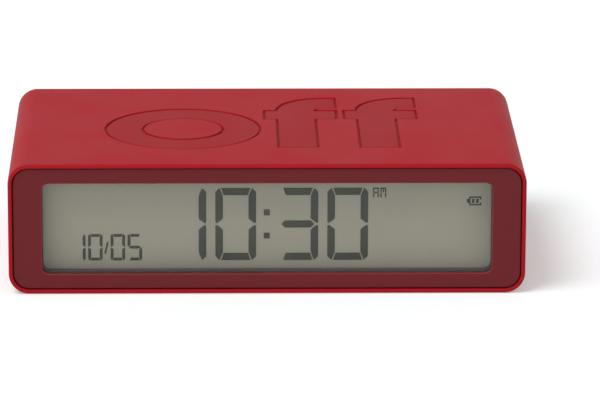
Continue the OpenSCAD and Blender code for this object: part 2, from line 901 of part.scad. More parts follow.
// Letter M of the half-day sign
module sign_m() {
  sign_arch();
  translate([(sign_w - sign_stroke) / 2, sign_h / 2])
    square([sign_stroke, sign_h / 2]);
}

// Battery gauge with two bars, its button on the left and its right side open
module gauge() {
  side_l = (gauge_h - gauge_open) / 2;
  bar_z = (gauge_h - gauge_bar_h) / 2;
  square([gauge_stroke, gauge_h]);
  for (z = [0, gauge_h - gauge_stroke])
    translate([0, z])
      square([gauge_w, gauge_stroke]);
  for (z = [0, gauge_h - side_l])
    translate([gauge_w - gauge_stroke, z])
      square([gauge_stroke, side_l]);
  translate([-gauge_tip, bar_z])
    square([gauge_tip, gauge_bar_h]);
  for (k = [0, 1])
    translate([gauge_bar_left + k * gauge_bar_pitch, bar_z])
      square([gauge_bar_w, gauge_bar_h]);
}

module lcd_segments() {
  color("#464941")
    plate(segments_front, rear_glass_front) {
      for (k = [0, 1])
        translate([hour_left + k * digit_pitch, digit_bottom])
          digit([shape_1, shape_0][k], digit_w, digit_h, segment_w, segment_gap);
      for (k = [-1, 1])
        translate([colon_x, digit_z + k * colon_pitch / 2])
          square(colon_dot, center = true);
      for (k = [0, 1])
        translate([minute_left + k * digit_pitch, digit_bottom])
          digit([shape_3, shape_0][k], digit_w, digit_h, segment_w, segment_gap);
      translate([minute_left + digit_pitch + digit_w + sign_space, sign_top - sign_h]) {
        sign_a();
        translate([sign_pitch, 0])
          sign_m();
      }
      translate([gauge_right - gauge_w, gauge_z - gauge_h / 2])
        gauge();
      for (k = [0:3]) {
        after_slash = k > 1 ? slash_room : 0;
        translate([-date_left + k * small_pitch + after_slash, digit_bottom])
          digit([shape_1, shape_0, shape_0, shape_5][k], small_w, small_h, small_segment_w, small_gap);
      }
      translate([2 * small_pitch - date_left - slash_left, digit_bottom + slash_low])
        polygon([[0, 0], [slash_t, 0], [slash_t + slash_lean, slash_h], [slash_lean, slash_h]]);
    }
}

module light_guide() {
  color("#dfe3df", 0.5)
    plate(guide_front, sheet_front)
      translate([-guide_w / 2, glass_bottom])
        square([guide_w, rear_glass_h]);
}

module reflector_sheet() {
  color("#f2f2ee")
    plate(sheet_front, frame_back)
      translate([-guide_w / 2, glass_bottom])
        square([guide_w, rear_glass_h]);
}

module backlight_lamps() {
  color("#f4edc8")
    for (side = [-1, 1])
      plate(guide_front + fit_gap, frame_back)
        translate([side * (guide_w / 2 + fit_gap + lamp_w / 2), mid_z])
          square([lamp_w, lamp_h], center = true);
}

module contact_strip() {
  strip_h = ledge_h - 3 * fit_gap;
  color("#d98fa0")
    plate(segments_front, frame_back)
      translate([-guide_w / 2, glass_bottom + glass_h - strip_h - fit_gap])
        square([guide_w, strip_h]);
}

module display_board() {
  color(board_green)
    difference() {
      round_plate(frame_back, display_board_back, insert_w, insert_h, insert_r);
      frame_screw_holes(frame_back - past, display_board_back + past, frame_screw_r + 2 * screw_gap);
    }
}

module display_screws() {
  color(steel)
    for (x = [-1, 1], z = [-1, 1])
      translate([x * frame_screw_x, display_board_back, mid_z + z * frame_screw_z])
        rotate([-90, 0, 0])
          screw(frame_screw_r, board_t + frame_screw_l - fit_gap, frame_screw_head_r, screw_head_t);
}

module chassis_tray() {
  bay_post_top = mid_z + bay_post_w / 2;
  side_post_front = panel_front - side_post_l;
  side_post_top = mid_z + side_screw_z + side_post_w / 2;
  color(charcoal)
    difference() {
      union() {
        block([-tray_w / 2, display_board_back, floor_z], [tray_w / 2, bay_front, tray_top]);
        block([bay_outer_right + slide_gap, bay_front, floor_z], [tray_w / 2, panel_front, tray_top]);
        for (x = [-1, 1], y = [-1, 1])
          translate([x * standoff_x, main_mid_y + y * standoff_y, floor_z])
            cylinder(h = tray_t + standoff_h, r = standoff_r);
        for (x = bay_post_x)
          block(
            [x - bay_post_w / 2, bay_front - bay_post_l, floor_z],
            [x + bay_post_w / 2, bay_front, bay_post_top]
          );
        block(
          [side_post_x - side_post_w / 2, side_post_front, floor_z],
          [tray_w / 2, panel_front, side_post_top]
        );
      }
      block(
        [touch_x - foil_w / 2 - fit_gap, touch_y - foil_d / 2 - fit_gap, floor_z - past],
        [touch_x + foil_w / 2 + fit_gap, touch_y + foil_d / 2 + fit_gap, tray_top + past]
      );
      for (x = [-1, 1], y = [-1, 1])
        translate([x * standoff_x, main_mid_y + y * standoff_y, tray_top])
          cylinder(h = standoff_h + past, r = screw_r + screw_gap);
      for (x = bay_post_x)
        rod_y(x, mid_z, bay_front - screw_l, bay_front + past, screw_r + screw_gap);
      for (z = [-1, 1])
        rod_y(
          side_post_x, mid_z + z * side_screw_z,
          panel_front - screw_l, panel_front + past, screw_r + screw_gap
        );
    }
}

module main_board() {
  color(board_green)
    difference() {
      block([-main_w / 2, main_front, main_bottom], [main_w / 2, main_back, main_top]);
      for (x = [-1, 1], y = [-1, 1])
        translate([x * standoff_x, main_mid_y + y * standoff_y, main_bottom - past])
          cylinder(h = board_t + 2 * past, r = screw_r + 2 * screw_gap);
    }
}

module main_board_screws() {
  color(steel)
    for (x = [-1, 1], y = [-1, 1])
      translate([x * standoff_x, main_mid_y + y * standoff_y, main_top])
        screw(screw_r, screw_l, screw_head_r, screw_head_t);
}

module clock_chip() {
  ball = (chip_r * chip_r + chip_h * chip_h) / (2 * chip_h);
  color("#1c1c1e")
    intersection() {
      translate([chip_x, main_mid_y, main_top + chip_h - ball])
        sphere(ball);
      translate([chip_x, main_mid_y, main_top])
        cylinder(h = chip_h + past, r = chip_r + past);
    }
}

module quartz_crystal() {
  color(steel)
    translate([crystal_x, front_row_y, main_top + crystal_r])
      rotate([0, 90, 0])
        cylinder(h = crystal_l, r = crystal_r);
}

module capacitors() {
  color("#26324a")
    for (k = [0, 1])
      translate([capacitor_x + k * capacitor_pitch, front_row_y, main_top])
        cylinder(h = capacitor_h, r = capacitor_r);
}

module tilt_cage() {
  color("#c9b26a")
    translate([tilt_x, front_row_y, main_top])
      difference() {
        cylinder(h = tilt_h, r = tilt_r);
        translate([0, 0, tilt_wall])
          cylinder(h = tilt_h - 2 * tilt_wall, r = tilt_r - tilt_wall);
      }
}

module tilt_ball() {
  ball_lift = 0.02;
  color(steel)
    translate([tilt_x, front_row_y, ball_z + ball_lift])
      sphere(ball_r);
}

module buzzer_case() {
  seat_z = buzzer_h - 2 * buzzer_wall;
  color("#1d1d1f")
    translate([buzzer_x, main_mid_y, main_top])
      difference() {
        cylinder(h = buzzer_h, r = buzzer_r);
        translate([0, 0, buzzer_wall])
          cylinder(h = seat_z - buzzer_wall, r = buzzer_r - 2 * buzzer_wall);
        translate([0, 0, seat_z])
          cylinder(h = buzzer_wall, r = buzzer_r - buzzer_wall);
        translate([0, 0, seat_z])
          cylinder(h = buzzer_h, r = buzzer_port_r);
      }
}

module buzzer_disc() {
  color("#d0a94c")
    translate([buzzer_x, main_mid_y, main_top + buzzer_h - 2 * buzzer_wall])
      cylinder(h = disc_t, r = buzzer_r - buzzer_wall - fit_gap);
}

module display_ribbon() {
  color("#d9d4c4")
    bar_along_x(display_ribbon_x - ribbon_w / 2, display_ribbon_x + ribbon_w / 2)
      translate([main_front + ribbon_end, main_top])
        mirror([1, 0])
          bent_strip(main_front + ribbon_end - display_board_back, display_ribbon_z - main_top);
}

module button_ribbon() {
  color("#d9d4c4")
    bar_along_x(button_ribbon_x - ribbon_w / 2, button_ribbon_x + ribbon_w / 2)
      translate([main_back - ribbon_end, main_top])
        bent_strip(button_board_front - main_back + ribbon_end, button_ribbon_z - main_top);
}

// Thin foil lying from a given height
module touch_foil(z) {
  translate([touch_x, touch_y, z + foil_t / 2])
    cube([foil_w, foil_d, foil_t], center = true);
}

module touch_foil_top() {
  color(copper)
    touch_foil(ceiling_z - foil_t);
}

module touch_foil_bottom() {
  color(copper)
    touch_foil(floor_z);
}

module touch_springs() {
  middle_r = touch_spring_r - wire_r;
  color(steel) {
    translate([touch_x, touch_y, main_top])
      coil(ceiling_z - foil_t - main_top, upper_turns, middle_r, middle_r);
    translate([touch_x, touch_y, floor_z + foil_t])
      coil(main_bottom - floor_z - foil_t, lower_turns, middle_r, middle_r);
  }
}

module rear_panel() {
  tail_slot = contact_t + 2 * fit_gap;
  head_sink = screw_head_t + fit_gap;
  color(dark_red)
    difference() {
      union() {
        round_plate(panel_front, panel_back, plate_w, plate_h, plate_r);
        // Battery bay behind the panel
        intersection() {
          round_plate(bay_front, panel_front + panel_t / 2, insert_w, insert_h, insert_r);
          block([-case_w, bay_front, 0], [bay_outer_right, panel_back, case_h]);
        }
        for (at = board_bosses)
          rod_y(at[0], at[1], button_board_back, panel_front + panel_t / 2, board_boss_r);
      }
      block(
        [bay_left, bay_inner_front, mid_z - bay_h / 2],
        [bay_right, panel_back + past, mid_z + bay_h / 2]
      );
      // Nail scoop beside the cover
      rod_y(bay_right, mid_z, panel_back - scoop_depth, panel_back + past, scoop_r);
      // Holes for the cover's pivot stubs
      translate([hinge_x, hinge_y, mid_z - bay_h / 2 - pivot_l])
        cylinder(h = bay_h + 2 * pivot_l, r = pivot_r + pivot_gap);
      for (z = [lower_z, upper_z])
        block(
          [bay_right - contact_t - fit_gap, bay_front - past, z - tail_w / 2 - fit_gap],
          [bay_right + tail_slot - contact_t - fit_gap, bay_inner_front + past, z + tail_w / 2 + fit_gap]
        );
      for (k = [0:3])
        rod_y(
          button_left + k * button_pitch, mid_z,
          panel_front - past, panel_back + past, button_r + button_gap
        );
      for (k = [-3:3])
        rod_y(
          button_left + 1.5 * button_pitch + k * sound_pitch, mid_z - sound_drop,
          panel_front - past, panel_back + past, sound_r
        );
      for (at = board_bosses)
        rod_y(
          at[0], at[1],
          button_board_back - past, button_board_back + screw_l, frame_screw_r + screw_gap
        );
      for (x = bay_post_x)
        rod_y(x, mid_z, bay_front - past, bay_inner_front + past, screw_r + 2 * screw_gap);
      for (z = [-1, 1]) {
        rod_y(
          side_post_x, mid_z + z * side_screw_z,
          panel_front - past, panel_back + past, screw_r + 2 * screw_gap
        );
        rod_y(
          side_post_x, mid_z + z * side_screw_z,
          panel_back - head_sink, panel_back + past, screw_head_r + fit_gap
        );
      }
    }
}

module rear_panel_screws() {
  color(steel) {
    for (x = bay_post_x)
      translate([x, bay_inner_front, mid_z])
        rotate([-90, 0, 0])
          screw(screw_r, bay_front_wall + screw_l - fit_gap, screw_head_r, screw_head_t);
    for (z = [-1, 1])
      translate([side_post_x, panel_back - screw_head_t - fit_gap, mid_z + z * side_screw_z])
        rotate([-90, 0, 0])
          screw(screw_r, screw_l, screw_head_r, screw_head_t);
  }
}

module battery_cover() {
  low = mid_z - cover_h / 2;
  high = mid_z + cover_h / 2;
  stub_reach = cover_gap + pivot_l - fit_gap;
  color(dark_red)
    union() {
      block([hinge_x, panel_front, low], [cover_right, panel_back, high]);
      translate([hinge_x, hinge_y, low])
        cylinder(h = cover_h, r = hinge_r);
      translate([hinge_x, hinge_y, low - stub_reach])
        cylinder(h = cover_h + 2 * stub_reach, r = pivot_r);
    }
}

// Cell along X from its flat end, with its button towards +X
module cell() {
  rotate([0, 90, 0]) {
    cylinder(h = cell_l - cell_button_l, r = cell_d / 2);
    cylinder(h = cell_l, r = cell_button_r);
  }
}

module battery_upper() {
  color("#4b4d50")
    translate([bay_right - contact_t - cell_l, cell_y, upper_z])
      cell();
}

module battery_lower() {
  color("#4b4d50")
    translate([bay_left + contact_t + cell_l, cell_y, lower_z])
      mirror([1, 0, 0])
        cell();
}

module bridge_contact() {
  color(steel)
    block(
      [bay_left, bay_inner_front, lower_z - contact_h / 2],
      [bay_left + contact_t, cell_y + contact_h / 2, upper_z + contact_h / 2]
    );
}

// End contact with a tail through the bay's front wall
module end_contact(z) {
  block(
    [bay_right - contact_t, bay_inner_front, z - contact_h / 2],
    [bay_right, cell_y + contact_h / 2, z + contact_h / 2]
  );
  block(
    [bay_right - contact_t, bay_front - tail_l, z - tail_w / 2],
    [bay_right, bay_inner_front + past, z + tail_w / 2]
  );
}

module positive_contact() {
  color(steel)
    end_contact(upper_z);
}

module negative_contact() {
  color(steel)
    end_contact(lower_z);
}

module contact_springs() {
  color(steel) {
    translate([bay_left + contact_t, cell_y, upper_z])
      rotate([0, 90, 0])
        coil(spring_l, spring_turns, spring_wide_r, spring_narrow_r);
    translate([bay_right - contact_t, cell_y, lower_z])
      rotate([0, -90, 0])
        coil(spring_l, spring_turns, spring_wide_r, spring_narrow_r);
  }
}

module battery_leads() {
  lead_x = bay_right - contact_t / 2;
  tail_end = bay_front - tail_l;
  color("#a02020")
    wire([[lead_x, tail_end, upper_z], [lead_x, lead_y, upper_z], [lead_x, lead_y, main_top]], lead_r);
  low_x = lead_x - 4 * lead_r;
  color("#202020")
    wire([
      [lead_x, tail_end, lower_z], [lead_x, lead_bend_y, lower_z], [low_x, lead_bend_y, lead_low_z],
      [low_x, lead_y, lead_low_z], [low_x, lead_y, main_top]
    ], lead_r);
}

module button_board() {
  color(board_green)
    difference() {
      block(
        [button_board_left, button_board_front, mid_z - button_board_h / 2],
        [button_board_right, button_board_back, mid_z + button_board_h / 2]
      );
      for (at = board_bosses)
        rod_y(
          at[0], at[1],
          button_board_front - past, button_board_back + past, frame_screw_r + 2 * screw_gap
        );
    }
}

module button_board_screws() {
  color(steel)
    for (at = board_bosses)
      translate([at[0], button_board_front, at[1]])
        rotate([90, 0, 0])
          screw(frame_screw_r, board_t + frame_screw_l, frame_screw_head_r, screw_head_t);
}

module push_switches() {
  color("#2b2b2d")
    for (k = [0:3])
      difference() {
        plate(button_board_back, switch_back)
          translate([button_left + k * button_pitch, mid_z])
            square(switch_w, center = true);
        rod_y(
          button_left + k * button_pitch, mid_z,
          switch_back - switch_bore_l, switch_back + past, plunger_r + button_gap
        );
      }
}

module button(k) {
  x = button_left + k * button_pitch;
  color(dark_red)
    union() {
      rod_y(x, mid_z, flange_front, button_top, button_r);
      rod_y(x, mid_z, flange_front, flange_back, button_r + flange_w);
      rod_y(x, mid_z, post_front, flange_back, plunger_r);
    }
}

module plunger(k) {
  color("#e8e6df")
    rod_y(button_left + k * button_pitch, mid_z, switch_back - plunger_in, post_front, plunger_r);
}

outer_sleeve();
front_bezel();
display_lens();
display_frame();
lcd_front_glass();
lcd_segments();
lcd_rear_glass();
light_guide();
reflector_sheet();
backlight_lamps();
contact_strip();
display_board();
display_screws();
chassis_tray();
main_board();
main_board_screws();
clock_chip();
quartz_crystal();
capacitors();
tilt_cage();
tilt_ball();
buzzer_case();
buzzer_disc();
display_ribbon();
button_ribbon();
touch_foil_top();
touch_foil_bottom();
touch_springs();
rear_panel();
rear_panel_screws();
battery_cover();
battery_upper();
battery_lower();
bridge_contact();
positive_contact();
negative_contact();
contact_springs();
battery_leads();
button_board();
button_board_screws();
push_switches();
for (k = [0:3]) {
  button(k);
  plunger(k);
}
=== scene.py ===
"""Looks, light and camera of the flip-over alarm clock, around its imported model."""
import math
from collections import Counter

import bpy
from mathutils import Matrix, Vector


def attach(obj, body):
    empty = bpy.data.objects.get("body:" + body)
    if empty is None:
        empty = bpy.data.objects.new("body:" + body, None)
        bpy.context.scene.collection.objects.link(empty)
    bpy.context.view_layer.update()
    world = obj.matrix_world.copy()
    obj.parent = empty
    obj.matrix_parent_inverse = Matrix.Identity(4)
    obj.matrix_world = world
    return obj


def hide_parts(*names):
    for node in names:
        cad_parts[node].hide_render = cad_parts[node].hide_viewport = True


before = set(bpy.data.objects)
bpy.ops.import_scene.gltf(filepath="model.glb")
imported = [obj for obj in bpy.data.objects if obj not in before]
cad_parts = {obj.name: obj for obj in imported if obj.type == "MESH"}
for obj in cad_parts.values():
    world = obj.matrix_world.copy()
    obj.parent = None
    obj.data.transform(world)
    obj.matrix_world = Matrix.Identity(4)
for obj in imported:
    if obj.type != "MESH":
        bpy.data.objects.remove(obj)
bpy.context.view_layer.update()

# Pieces are drawn in millimetres, as the part's source is, and scaled to metres when they are seated
MM = 0.001
# Points closer than this count as one place, and closer than the weld they are merged
NEAR, WELD = 0.01, 0.0005
# A face looks straight along an axis when its normal's share of that axis is above this
STRAIGHT = 0.999
# How far a cutting tool runs past the face that it opens
PAST = 1.0

# Case
CASE_W, CASE_D, CASE_H = 105.0, 62.0, 27.2
HALF_D, MID_Z = CASE_D / 2, CASE_H / 2
CORNER_R, WALL, LIP_WALL, RIM_R, LIP_EDGE = 4.2, 1.6, 0.8, 0.55, 0.12
FACE_RECESS = 0.5
PLATE_T = 2.0

# Bezel, window and the lens's seat behind it
PLATE_W, PLATE_H, PLATE_R = 103.0, 25.2, 3.2
BEZEL_FRONT, BEZEL_BACK = FACE_RECESS - HALF_D, FACE_RECESS - HALF_D + PLATE_T
WINDOW_W, WINDOW_H, WINDOW_R, WINDOW_EDGE = 91.3, 19.0, 1.5, 0.18
LENS_T, LENS_RIM = 1.5, 1.6
LENS_FRONT = BEZEL_BACK - LENS_T
SEAT_W, SEAT_H = WINDOW_W + 2 * LENS_RIM, WINDOW_H + 2 * LENS_RIM

# Rear panel with the battery bay at its left, seen from the front
PANEL_BACK = HALF_D - FACE_RECESS
PANEL_FRONT = PANEL_BACK - PLATE_T
BAY_LEFT, BAY_RIGHT, BAY_LOW, BAY_HIGH = -49.6, -1.0, 2.9, 24.3
BAY_FLOOR, BAY_WALL, BAY_FLOOR_T, BAY_R = 17.5, 1.0, 1.2, 2.3
BAY_SCREWS, BAY_SCREW_R = (-42.6, -8.0), 1.1
SIDE_SCREW_X, SIDE_SCREWS, HEAD_R, HEAD_SINK = 46.3, (6.5, 20.7), 1.6, 0.9
BUTTONS = {"time": 5.2, "alarm": 16.8, "plus": 28.4, "minus": 40.0}
BUTTON_R, BUTTON_HOLE_R, BUTTON_TOP, BUTTON_EDGE = 3.0, 3.2, PANEL_BACK + 0.4, 0.35
# Each ring of a button's dish, by its width and its drop
BUTTON_DISH = ((0.5, 0.0), (0.5, 0.08), (0.5, 0.06), (0.5, 0.03))
FLANGE_R, FLANGE_FRONT, FLANGE_BACK = 3.8, 27.0, 28.2
POST_R, POST_FRONT = 1.6, 25.1
SOUND_X, SOUND_Z, SOUND_R, SOUND_PITCH, SOUND_HOLES = 22.6, 5.8, 0.6, 2.4, 7
BOSSES, BOSS_R, BOSS_FRONT = ((11.0, 18.1), (34.2, 9.1)), 1.3, 20.2
BOSS_HOLE_R, BOSS_HOLE_END = 0.85, 24.4
SCOOP_R, SCOOP_DEPTH = 2.2, 1.0
SOFT_EDGE = 0.2

# Battery cover and cells
COVER_GAP, HINGE_R = 0.3, 1.0
PIVOT_R, PIVOT_HOLE_R, PIVOT_L, PIVOT_PLAY = 0.5, 0.55, 1.0, 0.1
HINGE_X, HINGE_Y = BAY_LEFT + COVER_GAP + HINGE_R, PANEL_FRONT + HINGE_R
COVER_RIGHT, COVER_LOW, COVER_HIGH = BAY_RIGHT - COVER_GAP, BAY_LOW + COVER_GAP, BAY_HIGH - COVER_GAP
LEDGE_W, LEDGE_T, LEDGE_ROOT = 0.7, 0.9, 0.2
LEDGE_BACK = PANEL_FRONT - COVER_GAP
CELL_R, CELL_Y, CELL_Z, CELL_LEFT, CELL_RIGHT = 5.25, 22.95, 18.95, -45.9, -2.4
CELL_BAND, CELL_ROLL, CAN_R, CAN_EDGE, NUB_R, NUB_L = 9.0, 0.45, 3.7, 0.25, 1.9, 1.0
CELLS_MIDDLE = -25.3

# Words printed above the buttons
LEGENDS = {"time": ("TIME", 2.2), "alarm": ("ALARM", 2.2), "plus": ("+", 3.4), "minus": ("\u2212", 3.4)}
LEGEND_Z, LEGEND_T = 19.4, 0.03

# Words outlined by a groove
RING_OUTER_R, RING_INNER_R = 16.0, 8.3
STEM_W, X_HEIGHT, BAR_H = 8.1, 29.6, 7.05
BAR_LEFT, BAR_RIGHT = 2.65, 4.4
HOOK_INNER_R, HOOK_PITCH = 2.05, 16.75
HOOK_R = STEM_W + HOOK_INNER_R
ARCH_R = 12.6
LETTER_GAP, LETTER_LINE, WORD_SHIFT = 3.65, -17.5, -0.7
RING_SIDES, HOOK_STEPS, SHOULDER_STEPS, ARCH_STEPS = 144, 24, 16, 32
# A groove is a bell curve, made fuller by this factor and cut off flat at its depth
GROOVE_FULLNESS = 1.5
LETTER_DEPTH, GROOVE_DEPTH, GROOVE_W, GROOVE_STEPS = 0.1, 0.55, 0.7, 12
# How much darker the letters' faces are, and the painted shade at the bottom of the grooves round them
LETTER_SHADE, GROOVE_PAINTED_SHADE = 0.26, 0.5

# Range of the cloudy pattern that is used, and how far gloss wanders with it on solid and on clear pieces
CLOUD_LOW, CLOUD_HIGH = 0.3, 0.7
GLOSS_WANDER, CLEAR_WANDER = 0.04, 0.02

# Share of the light that a clear sheet mirrors at the flattest slant, and how fast it gets there
SLANT_GLOSS, SLANT_POWER = 0.5, 5

# Light and table: the room's even light, two soft lamps by place, size and power, and the table's lift
ROOM_LIGHT, TABLE_LIFT, TABLE_GAP = 0.43, 0.265, 0.05
TABLE_SIZE, TABLE_COLOUR = 12, (0.86, 0.89, 0.89, 1)
KEY_PLACE, KEY_SIZE, KEY_WATTS = (-1.4, -1.05, 3.0), 1.9, 64.0
FILL_PLACE, FILL_SIZE, FILL_WATTS = (-0.2, -2.8, 0.7), 1.8, 15.2

# Camera, in metres and degrees, found from the clock's corners in the photograph
CAMERA_PLACE = (-0.01332, -0.93025, 0.27513)
CAMERA_PITCH, CAMERA_YAW, CAMERA_ROLL = 15.849, 1.268, 0.222
CAMERA_SENSOR, CAMERA_LENS = 36, 277.41
CAMERA_NEAR, CAMERA_FAR = 0.05, 50


def srgb(*levels):
    """Colour from its three screen levels."""
    return tuple((v / 255 / 12.92) if v <= 10 else ((v / 255 + 0.055) / 1.055) ** 2.4 for v in levels)


def node_of(tree, kind, **values):
    """New shader node with some of its inputs set."""
    made = tree.nodes.new(kind)
    for name, value in values.items():
        made.inputs[name.replace("_", " ")].default_value = value
    return made


def noise(tree, per_metre, detail=3.0, stretch=(1, 1, 1)):
    """Cloudy pattern on the piece's own coordinates, with so many spots to a metre."""
    place = tree.nodes.new("ShaderNodeTexCoord")
    turn = node_of(tree, "ShaderNodeMapping", Scale=stretch)
    cloud = node_of(tree, "ShaderNodeTexNoise", Scale=per_metre, Detail=detail, Roughness=0.55)
    tree.links.new(place.outputs["Object"], turn.inputs["Vector"])
    tree.links.new(turn.outputs["Vector"], cloud.inputs["Vector"])
    return cloud.outputs["Fac"]


def shades(tree, amount, colour, spread):
    """Colour that goes a little darker and lighter with a pattern."""
    ramp = tree.nodes.new("ShaderNodeValToRGB")
    for stop, level, at in zip(ramp.color_ramp.elements, (1 - spread, 1 + spread), (CLOUD_LOW, CLOUD_HIGH)):
        stop.position = at
        stop.color = (*(min(1, c * level) for c in colour), 1)
    tree.links.new(amount, ramp.inputs["Fac"])
    return ramp.outputs["Color"]


def spread_of(tree, amount, low, high):
    """Number that wanders between two values with a pattern."""
    span = node_of(
        tree, "ShaderNodeMapRange", From_Min=CLOUD_LOW, From_Max=CLOUD_HIGH, To_Min=low, To_Max=high
    )
    tree.links.new(amount, span.inputs["Value"])
    return span.outputs["Result"]


def relief(tree, amount, depth, strength):
    """Fine relief from a pattern."""
    bump = node_of(tree, "ShaderNodeBump", Strength=strength, Distance=depth)
    tree.links.new(amount, bump.inputs["Height"])
    return bump.outputs["Normal"]


def surface(name, colour, rough, spread=0.05, patches=90, grain=5000, grain_depth=2e-5, grain_strength=0.1,
            stretch=(1, 1, 1), **values):
    """Material with patches of shade, a wandering gloss and a fine grain."""
    made = bpy.data.materials.new(name)
    made.use_nodes = True
    tree = made.node_tree
    shader = tree.nodes["Principled BSDF"]
    for key, value in values.items():
        shader.inputs[key.replace("_", " ")].default_value = value
    patch = noise(tree, patches)
    fine = noise(tree, grain, 2.0, stretch)
    tree.links.new(shades(tree, patch, colour, spread), shader.inputs["Base Color"])
    gloss = spread_of(tree, patch, rough - GLOSS_WANDER, rough + GLOSS_WANDER)
    tree.links.new(gloss, shader.inputs["Roughness"])
    tree.links.new(relief(tree, fine, grain_depth, grain_strength), shader.inputs["Normal"])
    return made


def metal(name, colour, rough, spread=0.06):
    """Bare metal with fine drawn lines."""
    return surface(
        name, colour, rough, spread, patches=400, grain=2500, grain_strength=0.08,
        stretch=(1, 8, 8), Metallic=1.0,
    )


def clear(name, colour, gloss, haze):
    """Clear sheet that mirrors a little, more at a slant, and lets the rest of the light through."""
    made = bpy.data.materials.new(name)
    made.use_nodes = True
    tree = made.node_tree
    tree.nodes.remove(tree.nodes["Principled BSDF"])
    through = node_of(tree, "ShaderNodeBsdfTransparent", Color=(*colour, 1))
    mirror = node_of(tree, "ShaderNodeBsdfGlossy", Color=(1, 1, 1, 1))
    slant = node_of(tree, "ShaderNodeLayerWeight", Blend=0.5)
    steep = tree.nodes.new("ShaderNodeMath")
    steep.operation = "POWER"
    steep.inputs[1].default_value = SLANT_POWER
    share = node_of(tree, "ShaderNodeMapRange", To_Min=gloss, To_Max=SLANT_GLOSS)
    mix = tree.nodes.new("ShaderNodeMixShader")
    dull = spread_of(tree, noise(tree, 300), haze - CLEAR_WANDER, haze + CLEAR_WANDER)
    tree.links.new(dull, mirror.inputs["Roughness"])
    tree.links.new(slant.outputs["Facing"], steep.inputs[0])
    tree.links.new(steep.outputs[0], share.inputs["Value"])
    tree.links.new(share.outputs["Result"], mix.inputs["Fac"])
    tree.links.new(through.outputs["BSDF"], mix.inputs[1])
    tree.links.new(mirror.outputs["BSDF"], mix.inputs[2])
    tree.links.new(mix.outputs["Shader"], tree.nodes["Material Output"].inputs["Surface"])
    return made


def numbered(made, name):
    """Number that a piece's faces carry."""
    number = made.node_tree.nodes.new("ShaderNodeAttribute")
    number.attribute_name = name
    return number.outputs["Fac"]


def tint(made, amount, colour, how="MIX"):
    """Lays a second colour over a material's first where an amount says so."""
    # The mix node's sockets share names, so they are taken by their places
    amount_in, first_in, second_in, colour_out = 0, 6, 7, 2
    tree = made.node_tree
    shader = tree.nodes["Principled BSDF"]
    first = shader.inputs["Base Color"].links[0].from_socket
    blend = tree.nodes.new("ShaderNodeMix")
    blend.data_type = "RGBA"
    blend.blend_type = how
    blend.inputs[second_in].default_value = (*colour, 1)
    tree.links.new(amount, blend.inputs[amount_in])
    tree.links.new(first, blend.inputs[first_in])
    tree.links.new(blend.outputs[colour_out], shader.inputs["Base Color"])


def soft_red(name):
    """Soft-touch case red, darker on the letters, with painted shade in the grooves round them."""
    made = surface(
        name, srgb(168, 25, 35), 0.55, 0.02, patches=60, Specular_IOR_Level=0.05,
        Sheen_Weight=0.036, Sheen_Roughness=0.3,
    )
    # The faces' shade number darkens the letters and paints shade into the grooves
    tint(made, numbered(made, "shade"), (0.5, 0.4, 0.4), "MULTIPLY")
    return made


def moulded_red(name):
    """Dark red moulded plastic, with a painted highlight along the rounded edge of the window."""
    made = surface(
        name, srgb(105, 26, 31), 0.5, 0.03, patches=80, grain_strength=0.2, Specular_IOR_Level=0.2
    )
    # Painted highlight: a lighter red laid over the faces numbered as the window's edge
    tint(made, numbered(made, "edge"), srgb(136, 36, 44))
    return made


def banded_jacket(name):
    """Dark jacket of a cell with a copper band at its positive end."""
    made = surface(name, srgb(44, 46, 50), 0.3, 0.05, patches=120)
    tint(made, numbered(made, "band"), srgb(186, 116, 66))
    return made


def board(name):
    """Circuit board: green lacquer over a grid of copper tracks."""
    made = surface(name, srgb(38, 92, 58), 0.35, 0.06, patches=150)
    tree = made.node_tree
    tracks = node_of(
        tree, "ShaderNodeTexBrick", Scale=260.0, Mortar_Size=0.08, Color1=(0, 0, 0, 1), Color2=(0, 0, 0, 1),
        Mortar=(1, 1, 1, 1),
    )
    place = tree.nodes.new("ShaderNodeTexCoord")
    tree.links.new(place.outputs["Object"], tracks.inputs["Vector"])
    tint(made, tracks.outputs["Color"], srgb(70, 132, 84))
    return made


